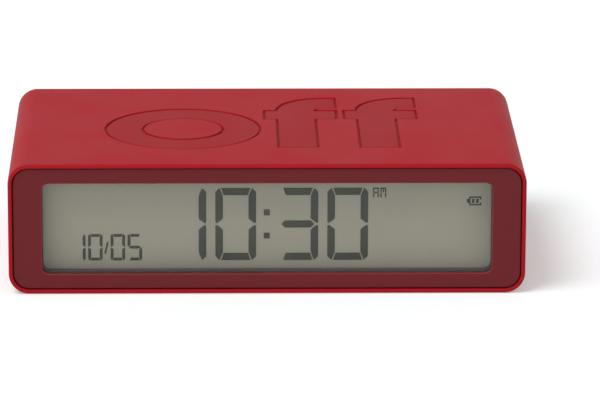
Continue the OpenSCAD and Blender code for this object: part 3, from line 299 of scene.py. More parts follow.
FINISHES = {
    "case_red": soft_red("case_red"),
    "insert_red": moulded_red("insert_red"),
    "button_red": surface(
        "button_red", srgb(116, 30, 36), 0.45, 0.03, patches=200, Specular_IOR_Level=0.25
    ),
    "lens_clear": clear("lens_clear", (0.995, 0.995, 0.99), 0.008, 0.06),
    "frame_grey": surface("frame_grey", srgb(82, 71, 72), 0.6, 0.05),
    "display_glass": clear("display_glass", (0.99, 0.995, 0.985), 0.003, 0.08),
    "segment_ink": surface("segment_ink", srgb(50, 53, 45), 0.6, 0.03, patches=300),
    "display_back": surface("display_back", srgb(168, 161, 150), 0.7, 0.02, patches=40),
    "guide_clear": clear("guide_clear", (0.95, 0.97, 0.95), 0.028, 0.1),
    "sheet_white": surface("sheet_white", srgb(238, 238, 232), 0.8, 0.02),
    "lamp_resin": surface("lamp_resin", srgb(240, 232, 196), 0.4, 0.04),
    "strip_rubber": surface("strip_rubber", srgb(205, 140, 156), 0.75, 0.05),
    "board_green": board("board_green"),
    "screw_steel": metal("screw_steel", srgb(176, 178, 182), 0.34),
    "chip_resin": surface("chip_resin", srgb(28, 28, 30), 0.35, 0.1),
    "can_steel": metal("can_steel", srgb(200, 202, 205), 0.25),
    "capacitor_sleeve": surface("capacitor_sleeve", srgb(34, 44, 70), 0.35, 0.06),
    "tilt_brass": metal("tilt_brass", srgb(205, 178, 100), 0.3),
    "ball_steel": metal("ball_steel", srgb(205, 207, 210), 0.12, 0.02),
    "buzzer_black": surface("buzzer_black", srgb(30, 30, 32), 0.45, 0.08),
    "disc_brass": metal("disc_brass", srgb(210, 174, 88), 0.3),
    "ribbon_film": surface("ribbon_film", srgb(216, 210, 192), 0.45, 0.05),
    "foil_copper": metal("foil_copper", srgb(196, 124, 76), 0.3),
    "spring_steel": metal("spring_steel", srgb(188, 190, 194), 0.28),
    "contact_plate": metal("contact_plate", srgb(204, 204, 200), 0.3),
    "cell_jacket": banded_jacket("cell_jacket"),
    "lead_sleeve": surface("lead_sleeve", srgb(120, 26, 26), 0.5, 0.06),
    "switch_black": surface("switch_black", srgb(40, 40, 42), 0.45, 0.07),
    "plunger_white": surface("plunger_white", srgb(228, 226, 218), 0.5, 0.03),
}


def only(piece):
    """Leaves one piece selected and active."""
    bpy.ops.object.select_all(action="DESELECT")
    piece.select_set(True)
    bpy.context.view_layer.objects.active = piece


def named(name):
    """Names the primitive that was just added and puts its place and size into its mesh."""
    piece = bpy.context.object
    piece.name = name
    piece.data.name = name
    only(piece)
    bpy.ops.object.transform_apply(location=True, rotation=True, scale=True)
    return piece


def block(name, low, high):
    """Block between two corners."""
    low, high = Vector(low), Vector(high)
    bpy.ops.mesh.primitive_cube_add(size=1, location=(low + high) / 2, scale=high - low)
    return named(name)


def pick(piece, kind, test, among=None):
    """Opens a piece for editing with only those faces or edges selected that pass a test."""
    only(piece)
    bpy.context.tool_settings.mesh_select_mode = (False, kind == "edges", kind == "faces")
    bpy.ops.object.mode_set(mode="EDIT")
    bpy.ops.mesh.select_all(action="DESELECT")
    bpy.ops.object.mode_set(mode="OBJECT")
    mesh = piece.data
    if kind == "edges":
        for edge in mesh.edges:
            ends = (mesh.vertices[i].co for i in edge.vertices)
            edge.select = (among is None or edge.key in among) and test(*ends)
    else:
        for face in mesh.polygons:
            face.select = test(face)
    bpy.ops.object.mode_set(mode="EDIT")


def pick_open(piece, test=lambda a, b: True):
    """Opens a piece for editing with those of its open edges selected that pass a test."""
    uses = Counter(key for face in piece.data.polygons for key in face.edge_keys)
    pick(piece, "edges", test, {key for key, count in uses.items() if count == 1})


def close():
    """Ends the editing of a piece."""
    bpy.ops.object.mode_set(mode="OBJECT")


def bevel(width, steps):
    """Rounds the selected edges."""
    bpy.ops.mesh.bevel(offset=width, segments=steps, profile=0.5, affect="EDGES")


def push(x=0.0, y=0.0, z=0.0):
    """Extrudes what is selected."""
    bpy.ops.mesh.extrude_region_move(TRANSFORM_OT_translate={"value": (x, y, z)})


def join(first, *others):
    """Joins pieces into the first of them."""
    only(first)
    for other in others:
        other.select_set(True)
    bpy.ops.object.join()
    return first


def face_outwards(piece):
    """Merges doubled points and turns every face outwards."""
    pick(piece, "faces", lambda face: True)
    bpy.ops.mesh.remove_doubles(threshold=WELD)
    bpy.ops.mesh.normals_make_consistent(inside=False)
    close()


def smooth(piece, degrees=40):
    """Shades round surfaces smooth, keeps sharp edges sharp and flat faces flat."""
    only(piece)
    bpy.ops.object.shade_smooth_by_angle(angle=math.radians(degrees))
    even = piece.modifiers.new("even", "WEIGHTED_NORMAL")
    even.keep_sharp = True
    bpy.ops.object.modifier_apply(modifier=even.name)


def seat(piece, slot, body, *nodes):
    """Scales a finished piece to metres, dresses it and sets it on its body in place of CAD nodes."""
    only(piece)
    piece.scale = (MM, MM, MM)
    bpy.ops.object.transform_apply(location=False, rotation=False, scale=True)
    piece.data.materials.clear()
    piece.data.materials.append(FINISHES[slot])
    for face in piece.data.polygons:
        face.material_index = 0
    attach(piece, body)
    if nodes:
        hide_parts(*nodes)


def slab(name, w, h, front, back, corner_r, steps=12):
    """Upright plate about the middle of the clock, with round corners."""
    plate = block(name, (-w / 2, front, MID_Z - h / 2), (w / 2, back, MID_Z + h / 2))
    pick(plate, "edges", lambda a, b: abs(a.y - b.y) > NEAR)
    bevel(corner_r, steps)
    close()
    return plate


def depth_inside(p, w, h, r):
    """How deep a point lies inside a rounded outline about the middle of the clock, seen from the front."""
    x = abs(p.x) - (w / 2 - r)
    z = abs(p.z - MID_Z) - (h / 2 - r)
    return r - math.hypot(max(x, 0), max(z, 0)) - min(max(x, z), 0)


def quarter_round(r, steps):
    """Points along a quarter of a circle, each by how far it has gone ahead and aside."""
    turns = [k * math.pi / (2 * steps) for k in range(steps + 1)]
    return [(r * math.sin(a), r * (1 - math.cos(a))) for a in turns]


def ring_letter(name, x, y, z, grow):
    """Round letter as a flat ring."""
    bpy.ops.mesh.primitive_circle_add(vertices=RING_SIDES, radius=RING_OUTER_R + grow, location=(x, y, z))
    outer = named(name)
    bpy.ops.mesh.primitive_circle_add(vertices=RING_SIDES, radius=RING_INNER_R - grow, location=(x, y, z))
    join(outer, named("inner_circle"))
    pick(outer, "edges", lambda a, b: True)
    bpy.ops.mesh.bridge_edge_loops()
    close()
    return outer


def leg(name, left, right, low, high, z):
    """Flat upright stroke of a letter."""
    bpy.ops.mesh.primitive_plane_add(size=1, location=((left + right) / 2, (low + high) / 2, z))
    bpy.context.object.scale = (right - left, high - low, 1)
    return named(name)


def turn_edge(x, y, z, degrees, steps):
    """Spins the selected edge clockwise about a point, seen from above."""
    bpy.ops.mesh.spin(steps=steps, angle=math.radians(degrees), center=(x, y, z), axis=(0, 0, 1))


def hooked_letter(name, x, y, z, grow):
    """Letter with a crossbar and a hook, flat, from the left of its stroke on the letters' line."""
    left, right = x - grow, x + STEM_W + grow
    bar_low, bar_high = y + X_HEIGHT - BAR_H - grow, y + X_HEIGHT + grow
    letter = leg(name, left, right, y - grow, bar_low, z)
    pick(letter, "edges", lambda a, b: min(a.y, b.y) > bar_low - NEAR)
    push(y=bar_high - bar_low)
    close()
    pick(letter, "edges", lambda a, b: max(a.x, b.x) < left + NEAR and min(a.y, b.y) > bar_low - NEAR)
    push(x=-BAR_LEFT)
    close()
    pick(letter, "edges", lambda a, b: min(a.x, b.x) > right - NEAR and min(a.y, b.y) > bar_low - NEAR)
    push(x=BAR_RIGHT)
    close()
    pick(
        letter, "edges",
        lambda a, b: min(a.y, b.y) > bar_high - NEAR
        and min(a.x, b.x) > left - NEAR and max(a.x, b.x) < right + NEAR,
    )
    turn_edge(x + HOOK_R, y + X_HEIGHT, z, 90, HOOK_STEPS)
    push(x=BAR_RIGHT - HOOK_INNER_R)
    close()
    return letter


def arched_letter(name, x, y, z, grow):
    """Letter with two legs under an arch, flat, from the left of its first leg on the letters' line."""
    left, right = x - grow, x + STEM_W + grow
    arch_x, arch_y = x + ARCH_R, y + X_HEIGHT - ARCH_R
    outer_r = ARCH_R + grow
    letter = leg(name, left, right, y - grow, arch_y, z)
    pick(letter, "edges", lambda a, b: min(a.y, b.y) > arch_y - NEAR)
    first = math.degrees(math.acos((arch_x - right) / outer_r))
    turn_edge(arch_x, arch_y, z, first, SHOULDER_STEPS)
    turn_edge(arch_x, arch_y, z, 180 - first, ARCH_STEPS)
    push(y=y - grow - arch_y)
    close()
    # The stroke's square shoulder stands over the start of the arch
    pick(
        letter, "edges",
        lambda a, b: max(a.x, b.x) < right + NEAR and min(a.y, b.y) > arch_y - NEAR
        and all(abs(math.hypot(p.x - arch_x, p.y - arch_y) - outer_r) < NEAR for p in (a, b)),
    )
    push(y=2 * X_HEIGHT)
    close()
    top = y + X_HEIGHT + grow
    pick(letter, "faces", lambda face: face.center.y > top)
    bpy.ops.mesh.bisect(plane_co=(x, top, z), plane_no=(0, 1, 0), clear_outer=True)
    bpy.ops.mesh.select_all(action="SELECT")
    bpy.ops.mesh.remove_doubles(threshold=WELD)
    bpy.ops.mesh.dissolve_limited(angle_limit=math.radians(0.5))
    close()
    return letter


def sink_faces(piece, mark, way, profile):
    """Sinks marked faces along a profile of insets and depths."""
    pick(piece, "faces", lambda face: face.material_index == mark)
    for (inset, depth), (next_inset, next_depth) in zip(profile, profile[1:]):
        bpy.ops.mesh.inset(thickness=next_inset - inset, use_even_offset=True)
        bpy.ops.transform.translate(value=Vector(way) * (next_depth - depth))
    close()


def sink(sleeve, word, down):
    """Lets a flat word into the top or the underside, with a soft groove round it.

    Down is -1 on the top and 1 underneath.
    """
    level = CASE_H if down < 0 else 0.0
    word.data.materials.append(bpy.data.materials.new("word"))
    face_outwards(word)
    pick(sleeve, "faces", lambda face: face.normal.z * down < -STRAIGHT and abs(face.center.z - level) < NEAR)
    bpy.ops.mesh.delete(type="ONLY_FACE")
    close()
    mark = len(sleeve.data.materials)
    join(sleeve, word)
    pick_open(sleeve)
    bpy.ops.mesh.fill()
    close()
    groove = []
    for k in range(GROOVE_STEPS + 1):
        part = k / GROOVE_STEPS
        hollow = min(1, GROOVE_FULLNESS * math.sin(math.pi * part) ** 2)
        groove.append((GROOVE_W * part, LETTER_DEPTH * part + (GROOVE_DEPTH - LETTER_DEPTH) * hollow))
    sink_faces(sleeve, mark, (0, 0, down), groove)


def number_faces(piece, name, number):
    """Gives each face of a piece a number that its material reads."""
    layer = piece.data.attributes.new(name, "FLOAT", "FACE")
    for face in piece.data.polygons:
        layer.data[face.index].value = number(face)


def letter_darkening_and_painted_groove_shade(face):
    """How much darker a face of the sleeve is painted for its place in a word: a set darkening on the
    letters' faces, and painted shade in the grooves that deepens with their depth.
    """
    below = MID_Z - abs(face.center.z - MID_Z)
    beside = abs(face.center.x) > CASE_W / 2 - CORNER_R - NEAR or abs(face.center.y) > HALF_D - WALL
    if beside or below > WALL / 2:
        return 0.0
    on_letter = abs(face.normal.z) > STRAIGHT and abs(below - LETTER_DEPTH) < NEAR
    return LETTER_SHADE if on_letter else GROOVE_PAINTED_SHADE * below / GROOVE_DEPTH


def make_sleeve():
    """Soft-touch sleeve: a tube with round corners and thin lips, and a word in its top and its underside."""
    sleeve = slab("sleeve", CASE_W, CASE_H, -HALF_D, HALF_D, CORNER_R, 20)
    pick(sleeve, "edges", lambda a, b: abs(a.y) > HALF_D - NEAR and abs(a.y - b.y) < NEAR)
    bevel(RIM_R, 6)
    close()
    for end in (-1, 1):
        pick(sleeve, "faces", lambda face: face.normal.y * end > STRAIGHT)
        bpy.ops.mesh.inset(thickness=LIP_WALL - RIM_R, use_even_offset=True)
        push(y=-end * (FACE_RECESS + PLATE_T))
        bpy.ops.mesh.inset(thickness=WALL - LIP_WALL, use_even_offset=True)
        bpy.ops.mesh.delete(type="ONLY_FACE")
        close()
    pick_open(sleeve)
    bpy.ops.mesh.bridge_edge_loops()
    close()
    pick(
        sleeve, "edges",
        lambda a, b: abs(a.y) > HALF_D - NEAR and abs(a.y - b.y) < NEAR
        and abs(depth_inside((a + b) / 2, CASE_W, CASE_H, CORNER_R) - LIP_WALL) < LIP_EDGE / 2,
    )
    bevel(LIP_EDGE, 3)
    close()
    sleeve.data.materials.append(FINISHES["case_red"])
    grow = GROOVE_W / 2
    off_w = 2 * RING_OUTER_R + LETTER_GAP + HOOK_PITCH + STEM_W + BAR_RIGHT
    left = WORD_SHIFT - off_w / 2
    ring_y = LETTER_LINE + X_HEIGHT / 2
    hook_x = left + 2 * RING_OUTER_R + LETTER_GAP
    off = join(
        ring_letter("word_off", left + RING_OUTER_R, ring_y, CASE_H, grow),
        hooked_letter("first_hook", hook_x, LETTER_LINE, CASE_H, grow),
        hooked_letter("second_hook", hook_x + HOOK_PITCH, LETTER_LINE, CASE_H, grow),
    )
    sink(sleeve, off, -1)
    on_w = 2 * RING_OUTER_R + LETTER_GAP + 2 * ARCH_R
    on = join(
        ring_letter("word_on", RING_OUTER_R - on_w / 2, ring_y, CASE_H, grow),
        arched_letter("arch", 2 * RING_OUTER_R + LETTER_GAP - on_w / 2, LETTER_LINE, CASE_H, grow),
    )
    # It reads the right way once the clock is rolled over
    only(on)
    on.rotation_euler = (0, math.pi, 0)
    on.location = (0, 0, CASE_H)
    bpy.ops.object.transform_apply(location=True, rotation=True, scale=True)
    sink(sleeve, on, 1)
    face_outwards(sleeve)
    smooth(sleeve)
    # Numbers each face for the letters' darkening and the painted shade in the grooves
    number_faces(sleeve, "shade", letter_darkening_and_painted_groove_shade)
    seat(sleeve, "case_red", "clock", "outer_sleeve")


def cut(piece, *tools, how="DIFFERENCE"):
    """Cuts other pieces out of a piece, or adds them to it, and drops them."""
    tool = join(*tools)
    only(piece)
    change = piece.modifiers.new("cut", "BOOLEAN")
    change.operation = how
    change.object = tool
    change.solver = "EXACT"
    bpy.ops.object.modifier_apply(modifier=change.name)
    bpy.data.objects.remove(tool, do_unlink=True)


def open_ends(piece):
    """Takes the front and the back face off a plate."""
    pick(piece, "faces", lambda face: abs(face.normal.y) > STRAIGHT)
    bpy.ops.mesh.delete(type="ONLY_FACE")
    close()
    return piece


def front_face(piece, mark):
    """Keeps only the front face of a plate, and marks it with a material of its own."""
    pick(piece, "faces", lambda face: face.normal.y > -STRAIGHT)
    bpy.ops.mesh.delete(type="FACE")
    close()
    piece.data.materials.append(bpy.data.materials.new(mark))
    return piece


def fill_at(piece, y):
    """Fills the space between the open outlines at one depth."""
    pick_open(piece, lambda a, b: abs(a.y - y) < NEAR and abs(b.y - y) < NEAR)
    bpy.ops.mesh.fill()
    close()


def make_bezel():
    """Front bezel with its window, a softened window edge and a seat for the lens behind it."""
    bezel = slab("bezel", PLATE_W, PLATE_H, BEZEL_FRONT, BEZEL_BACK, PLATE_R)
    pick(bezel, "edges", lambda a, b: max(a.y, b.y) < BEZEL_FRONT + NEAR)
    bevel(SOFT_EDGE, 3)
    close()
    open_ends(bezel)
    bezel.data.materials.append(FINISHES["insert_red"])
    wide = 2 * WINDOW_EDGE
    join(
        bezel,
        front_face(
            slab("window", WINDOW_W + wide, WINDOW_H + wide, BEZEL_FRONT, BEZEL_BACK, WINDOW_R + WINDOW_EDGE),
            "window",
        ),
        front_face(slab("lens_seat", SEAT_W, SEAT_H, BEZEL_BACK, BEZEL_BACK + PAST, WINDOW_R), "lens_seat"),
    )
    fill_at(bezel, BEZEL_FRONT)
    fill_at(bezel, BEZEL_BACK)
    window, lens_seat = (bezel.data.materials.find(mark) for mark in ("window", "lens_seat"))
    sink_faces(bezel, window, (0, 1, 0), quarter_round(WINDOW_EDGE, 4))
    pick(bezel, "faces", lambda face: face.material_index == window and face.normal.y < -STRAIGHT)
    push(y=LENS_FRONT - BEZEL_FRONT - WINDOW_EDGE)
    bpy.ops.mesh.delete(type="ONLY_FACE")
    close()
    pick(bezel, "faces", lambda face: face.material_index == lens_seat)
    push(y=LENS_FRONT - BEZEL_BACK)
    bpy.ops.mesh.delete(type="ONLY_FACE")
    close()
    fill_at(bezel, LENS_FRONT)
    face_outwards(bezel)
    smooth(bezel)
    # The window's rounded edge is numbered for its painted highlight
    number_faces(bezel, "edge", lambda face: face.material_index == window and abs(face.normal.y) > NEAR)
    seat(bezel, "insert_red", "clock", "front_bezel")


def rod(name, x, z, front, back, r, sides=64):
    """Round rod along the clock's depth."""
    bpy.ops.mesh.primitive_cylinder_add(
        vertices=sides, radius=r, depth=back - front, location=(x, (front + back) / 2, z),
        rotation=(math.pi / 2, 0, 0),
    )
    return named(name)


def upright_rod(name, x, y, low, high, r, sides=48):
    """Round rod along the clock's height."""
    bpy.ops.mesh.primitive_cylinder_add(
        vertices=sides, radius=r, depth=high - low, location=(x, y, (low + high) / 2)
    )
    return named(name)


def level_rod(name, x, y, z, length, r, sides=64):
    """Round rod along the clock's width, about its middle."""
    bpy.ops.mesh.primitive_cylinder_add(
        vertices=sides, radius=r, depth=length, location=(x, y, z), rotation=(0, math.pi / 2, 0)
    )
    return named(name)


def twin(piece, name, shift, turn=(0, 0, 0)):
    """Copy of a piece, turned about the origin and shifted."""
    copy = piece.copy()
    copy.data = piece.data.copy()
    copy.name = name
    copy.data.name = name
    bpy.context.scene.collection.objects.link(copy)
    only(copy)
    copy.location = shift
    copy.rotation_euler = turn
    bpy.ops.object.transform_apply(location=True, rotation=True, scale=False)
    return copy


def widen_end(x, y, z, by_x, by_z):
    """Scales the selected face about a point, seen from the back."""
    bpy.ops.transform.resize(value=(by_x, 1, by_z), center_override=(x, y, z))


def flare(tool, x, z, w, h):
    """Widens a cutting tool in a quarter round where it leaves the panel, for a soft rim on its hole."""
    pick(tool, "faces", lambda face: face.normal.y > STRAIGHT)
    points = quarter_round(SOFT_EDGE, 3)
    for (up, out), (next_up, next_out) in zip(points, points[1:]):
        push(y=next_up - up)
        widen_end(x, PANEL_BACK, z, (w + 2 * next_out) / (w + 2 * out), (h + 2 * next_out) / (h + 2 * out))
    push(y=PAST)
    close()
    return tool


def hole(name, x, z, front, r):
    """Tool for a round hole with a soft rim in the panel."""
    return flare(rod(name, x, z, front, PANEL_BACK - SOFT_EDGE, r), x, z, 2 * r, 2 * r)


def make_panel():
    """Rear panel with the battery bay behind it, holes for buttons, sound and screws, and a nail scoop."""
    panel = slab("panel", PLATE_W, PLATE_H, PANEL_FRONT, PANEL_BACK, PLATE_R)
    pick(panel, "edges", lambda a, b: min(a.y, b.y) > PANEL_BACK - NEAR)
    bevel(SOFT_EDGE, 3)
    close()
    middle = (PANEL_FRONT + PANEL_BACK) / 2
    bay = block(
        "bay", (BAY_LEFT - BAY_WALL, BAY_FLOOR - BAY_FLOOR_T, BAY_LOW - BAY_WALL),
        (BAY_RIGHT + BAY_WALL, middle, BAY_HIGH + BAY_WALL),
    )
    pick(bay, "edges", lambda a, b: abs(a.y - b.y) > NEAR and a.x < BAY_LEFT)
    bevel(BAY_R, 8)
    close()
    cut(panel, bay, how="UNION")
    cut(panel, *(rod("boss", x, z, BOSS_FRONT, middle, BOSS_R) for x, z in BOSSES), how="UNION")
    opening = block(
        "opening", (BAY_LEFT, BAY_FLOOR, BAY_LOW), (BAY_RIGHT, PANEL_BACK - SOFT_EDGE, BAY_HIGH)
    )
    middle_x = (BAY_LEFT + BAY_RIGHT) / 2
    flare(opening, middle_x, MID_Z, BAY_RIGHT - BAY_LEFT, BAY_HIGH - BAY_LOW)
    cut(panel, opening)
    # The cover closes over a ledge at each end, which hides the contacts behind its gap
    low, high = BAY_LOW - LEDGE_ROOT, BAY_HIGH + LEDGE_ROOT
    ledges = ((BAY_LEFT - LEDGE_ROOT, BAY_LEFT + LEDGE_W), (BAY_RIGHT - LEDGE_W, BAY_RIGHT + LEDGE_ROOT))
    for left, right in ledges:
        ledge = block("ledge", (left, LEDGE_BACK - LEDGE_T, low), (right, LEDGE_BACK, high))
        cut(panel, ledge, how="UNION")
    scoop = hole("scoop", BAY_RIGHT, MID_Z, PANEL_BACK - SCOOP_DEPTH, SCOOP_R)
    pick(scoop, "edges", lambda a, b: max(a.y, b.y) < PANEL_BACK - SCOOP_DEPTH + NEAR)
    bevel(SCOOP_DEPTH / 2, 5)
    close()
    cut(panel, scoop)
    cut(panel, upright_rod("pivots", HINGE_X, HINGE_Y, BAY_LOW - PIVOT_L, BAY_HIGH + PIVOT_L, PIVOT_HOLE_R))
    through = PANEL_FRONT - PAST
    cut(panel, *(hole("button_hole", x, MID_Z, through, BUTTON_HOLE_R) for x in BUTTONS.values()))
    sound = [SOUND_X + (k - (SOUND_HOLES - 1) / 2) * SOUND_PITCH for k in range(SOUND_HOLES)]
    cut(panel, *(hole("sound_hole", x, SOUND_Z, through, SOUND_R) for x in sound))
    cut(panel, *(rod("boss_hole", x, z, BOSS_FRONT - PAST, BOSS_HOLE_END, BOSS_HOLE_R) for x, z in BOSSES))
    bay_ends = BAY_FLOOR - BAY_FLOOR_T - PAST, BAY_FLOOR + PAST
    cut(panel, *(rod("bay_screw", x, MID_Z, *bay_ends, BAY_SCREW_R) for x in BAY_SCREWS))
    cut(panel, *(rod("side_screw", SIDE_SCREW_X, z, through, PANEL_BACK, BAY_SCREW_R) for z in SIDE_SCREWS))
    cut(panel, *(hole("head_sink", SIDE_SCREW_X, z, PANEL_BACK - HEAD_SINK, HEAD_R) for z in SIDE_SCREWS))
    face_outwards(panel)
    smooth(panel)
    seat(panel, "insert_red", "clock", "rear_panel")


def make_cover():
    """Battery cover with a round hinge end and a stub at each end of it."""
    cover = block("cover", (HINGE_X, PANEL_FRONT, COVER_LOW), (COVER_RIGHT, PANEL_BACK, COVER_HIGH))
    pick(cover, "edges", lambda a, b: max(a.x, b.x) > HINGE_X + NEAR)
    bevel(SOFT_EDGE, 3)
    close()
    reach = COVER_GAP + PIVOT_L - PIVOT_PLAY
    barrel = upright_rod("barrel", HINGE_X, HINGE_Y, COVER_LOW, COVER_HIGH, HINGE_R)
    pick(barrel, "edges", lambda a, b: abs(a.z - b.z) < NEAR)
    bevel(SOFT_EDGE, 3)
    close()
    cut(cover, barrel, how="UNION")
    cut(
        cover, upright_rod("stubs", HINGE_X, HINGE_Y, COVER_LOW - reach, COVER_HIGH + reach, PIVOT_R, 24),
        how="UNION",
    )
    face_outwards(cover)
    smooth(cover)
    seat(cover, "insert_red", "cover", "battery_cover")


def make_buttons():
    """Push buttons with a rounded rim, a shallow dish, a flange behind the panel and a post to the switch."""
    x = BUTTONS["time"]
    first = rod("time_cap", x, MID_Z, FLANGE_BACK, BUTTON_TOP, BUTTON_R)
    pick(first, "edges", lambda a, b: min(a.y, b.y) > BUTTON_TOP - NEAR)
    bevel(BUTTON_EDGE, 4)
    close()
    first.data.materials.append(FINISHES["button_red"])
    pick(first, "faces", lambda face: face.normal.y > STRAIGHT)
    for width, depth in BUTTON_DISH:
        bpy.ops.mesh.inset(thickness=width, use_even_offset=True)
        bpy.ops.transform.translate(value=(0, -depth, 0))
    close()
    pick(first, "faces", lambda face: face.normal.y < -STRAIGHT)
    push(y=0)
    widen_end(x, FLANGE_BACK, MID_Z, FLANGE_R / BUTTON_R, FLANGE_R / BUTTON_R)
    push(y=FLANGE_FRONT - FLANGE_BACK)
    bpy.ops.mesh.inset(thickness=FLANGE_R - POST_R, use_even_offset=True)
    push(y=POST_FRONT - FLANGE_FRONT)
    close()
    face_outwards(first)
    smooth(first)
    caps = {"time": first}
    for name in ("alarm", "plus", "minus"):
        caps[name] = twin(first, name + "_cap", (BUTTONS[name] - x, 0, 0))
    for name, cap in caps.items():
        seat(cap, "button_red", name + "_key", name + "_button")


def make_cells():
    """Slim cells: a jacket rolled over both ends of a can, which has a button at its positive end."""
    middle, length = (CELL_LEFT + CELL_RIGHT) / 2, CELL_RIGHT - CELL_LEFT
    jacket = level_rod("upper_jacket", middle - CELL_BAND / 2, CELL_Y, CELL_Z, length - CELL_BAND, CELL_R)
    pick(jacket, "faces", lambda face: face.normal.x > STRAIGHT)
    push(x=CELL_BAND)
    close()
    pick(jacket, "edges", lambda a, b: abs(a.x - b.x) < NEAR and abs(a.x - middle) > length / 2 - NEAR)
    bevel(CELL_ROLL, 5)
    close()
    for end in (-1, 1):
        pick(jacket, "faces", lambda face: face.normal.x * end > STRAIGHT)
        bpy.ops.mesh.inset(thickness=CELL_R - CELL_ROLL - CAN_R, use_even_offset=True)
        push(x=-end * CELL_ROLL)
        close()
    face_outwards(jacket)
    smooth(jacket)
    number_faces(jacket, "band", lambda face: face.center.x > CELL_RIGHT - CELL_BAND)
    can = level_rod("upper_can", middle, CELL_Y, CELL_Z, length - CELL_ROLL, CAN_R)
    pick(can, "faces", lambda face: face.normal.x > STRAIGHT)
    bpy.ops.mesh.inset(thickness=CAN_R - NUB_R, use_even_offset=True)
    push(x=CELL_RIGHT + NUB_L - middle - (length - CELL_ROLL) / 2)
    close()
    pick(
        can, "edges",
        lambda a, b: abs(a.x - b.x) < NEAR
        and (a.x > CELL_RIGHT + NUB_L - NEAR or a.x < CELL_LEFT + CELL_ROLL),
    )
    bevel(CAN_EDGE, 4)
    close()
    face_outwards(can)
    smooth(can)
    over, half_turn = (2 * CELLS_MIDDLE, 0, 2 * MID_Z), (0, math.pi, 0)
    lower_jacket = twin(jacket, "lower_jacket", over, half_turn)
    lower_can = twin(can, "lower_can", over, half_turn)
    seat(jacket, "cell_jacket", "clock", "battery_upper")
    seat(lower_jacket, "cell_jacket", "clock", "battery_lower")
    seat(can, "can_steel", "clock")
    seat(lower_can, "can_steel", "clock")


def make_legends():
    """Words and signs printed above the buttons."""
    words = []
    for name, (word, size) in LEGENDS.items():
        bpy.ops.object.select_all(action="DESELECT")
        bpy.ops.object.text_add()
        legend = bpy.context.object
        legend.data.body = word
        legend.data.size = size
        legend.data.align_x = legend.data.align_y = "CENTER"
        legend.data.extrude = LEGEND_T / 2
        bpy.ops.object.convert(target="MESH")
        legend = bpy.context.object
        legend.location = (BUTTONS[name], PANEL_BACK + LEGEND_T / 2, LEGEND_Z)
        legend.rotation_euler = (math.pi / 2, 0, math.pi)
        words.append(named("legend_" + name))
    legends = join(*words)
    legends.name = "legends"
    face_outwards(legends)
    seat(legends, "sheet_white", "clock")


make_sleeve()
make_bezel()
make_panel()
make_cover()
make_buttons()
make_cells()
make_legends()

# CAD pieces whose shape is already right, by their finish
DRESSED = {
    "lens_clear": ["display_lens"],
    "frame_grey": ["display_frame", "chassis_tray"],
    "display_glass": ["lcd_front_glass"],
    "segment_ink": ["lcd_segments"],
    "display_back": ["lcd_rear_glass"],
    "guide_clear": ["light_guide"],
    "sheet_white": ["reflector_sheet"],
    "lamp_resin": ["backlight_lamps"],
    "strip_rubber": ["contact_strip"],
    "board_green": ["display_board", "main_board", "button_board"],
    "screw_steel": ["display_screws", "main_board_screws", "rear_panel_screws", "button_board_screws"],
    "chip_resin": ["clock_chip"],
    "can_steel": ["quartz_crystal"],
    "capacitor_sleeve": ["capacitors"],
    "tilt_brass": ["tilt_cage"],
    "ball_steel": ["tilt_ball"],
    "buzzer_black": ["buzzer_case"],
    "disc_brass": ["buzzer_disc"],
    "ribbon_film": ["display_ribbon", "button_ribbon"],
    "foil_copper": ["touch_foil_top", "touch_foil_bottom"],
    "spring_steel": ["touch_springs", "contact_springs"],
    "contact_plate": ["bridge_contact", "positive_contact", "negative_contact"],
    "lead_sleeve": ["battery_leads"],
    "switch_black": ["push_switches"],
    "plunger_white": ["time_plunger", "alarm_plunger", "plus_plunger", "minus_plunger"],
}
for finish, nodes in DRESSED.items():
    for name in nodes:
        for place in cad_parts[name].material_slots:
            place.material = FINISHES[finish]


def seen(tree):
    """1 for what the camera sees, straight, mirrored or through glass, and 0 for light on the object."""
    path = tree.nodes.new("ShaderNodeLightPath")
    either = tree.nodes.new("ShaderNodeMath")
    either.operation = "MAXIMUM"
    any_of = tree.nodes.new("ShaderNodeMath")
    any_of.operation = "MAXIMUM"
    tree.links.new(path.outputs["Is Camera Ray"], either.inputs[0])
    tree.links.new(path.outputs["Is Glossy Ray"], either.inputs[1])
    tree.links.new(either.outputs[0], any_of.inputs[0])
    tree.links.new(path.outputs["Is Transmission Ray"], any_of.inputs[1])
    return any_of.outputs[0]


def make_room():
    """White room that gives an even light."""
    world = bpy.data.worlds.new("room")
    bpy.context.scene.world = world
    world.use_nodes = True
    tree = world.node_tree
    back = tree.nodes["Background"]
    back.inputs["Color"].default_value = (1, 1, 1, 1)
    level = node_of(tree, "ShaderNodeMapRange", To_Min=ROOM_LIGHT, To_Max=1.0)
    tree.links.new(seen(tree), level.inputs["Value"])
    tree.links.new(level.outputs["Result"], back.inputs["Strength"])


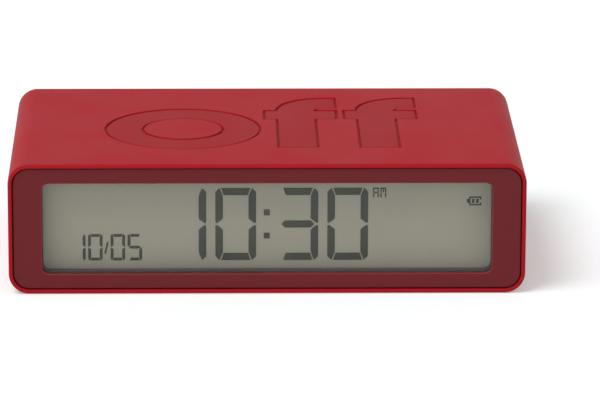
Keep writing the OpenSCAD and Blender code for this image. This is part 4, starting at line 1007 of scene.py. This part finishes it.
def make_floor():
    """White table that keeps the clock's shadow, lifted to white where the camera sees it."""
    bpy.ops.object.select_all(action="DESELECT")
    bpy.ops.mesh.primitive_plane_add(size=TABLE_SIZE, location=(0, 0, -TABLE_GAP * MM))
    floor = bpy.context.object
    floor.name = "floor"
    made = bpy.data.materials.new("table_white")
    made.use_nodes = True
    tree = made.node_tree
    tree.nodes.remove(tree.nodes["Principled BSDF"])
    paper = node_of(tree, "ShaderNodeBsdfDiffuse", Color=TABLE_COLOUR)
    lift = node_of(tree, "ShaderNodeEmission", Color=(1, 1, 1, 1))
    level = node_of(tree, "ShaderNodeMapRange", To_Min=0.0, To_Max=TABLE_LIFT)
    both = tree.nodes.new("ShaderNodeAddShader")
    tree.links.new(seen(tree), level.inputs["Value"])
    tree.links.new(level.outputs["Result"], lift.inputs["Strength"])
    tree.links.new(paper.outputs["BSDF"], both.inputs[0])
    tree.links.new(lift.outputs["Emission"], both.inputs[1])
    tree.links.new(both.outputs["Shader"], tree.nodes["Material Output"].inputs["Surface"])
    floor.data.materials.append(made)


def make_lamp(name, place, size, watts):
    """Soft box that looks at the clock."""
    data = bpy.data.lights.new(name, "AREA")
    data.shape = "DISK"
    data.size = size
    data.energy = watts
    lamp = bpy.data.objects.new(name, data)
    bpy.context.scene.collection.objects.link(lamp)
    lamp.location = place
    aim = Vector((0, 0, MID_Z * MM)) - Vector(place)
    lamp.rotation_euler = aim.to_track_quat("-Z", "Y").to_euler()


def make_camera():
    """Camera where the photograph was taken."""
    pitch, yaw, roll = (math.radians(v) for v in (CAMERA_PITCH, CAMERA_YAW, CAMERA_ROLL))
    data = bpy.data.cameras.new("camera")
    data.sensor_width = CAMERA_SENSOR
    data.lens = CAMERA_LENS
    data.clip_start = CAMERA_NEAR
    data.clip_end = CAMERA_FAR
    camera = bpy.data.objects.new("camera", data)
    bpy.context.scene.collection.objects.link(camera)
    camera.location = CAMERA_PLACE
    facing = Matrix.Rotation(-yaw, 3, "Z")
    tilt = Matrix.Rotation(math.pi / 2 - pitch, 3, "X")
    camera.rotation_euler = (facing @ tilt @ Matrix.Rotation(roll, 3, "Z")).to_euler()
    bpy.context.scene.camera = camera


make_camera()
make_room()
make_floor()
make_lamp("key", KEY_PLACE, KEY_SIZE, KEY_WATTS)
make_lamp("fill", FILL_PLACE, FILL_SIZE, FILL_WATTS)
bpy.context.scene.view_settings.view_transform = "Standard"
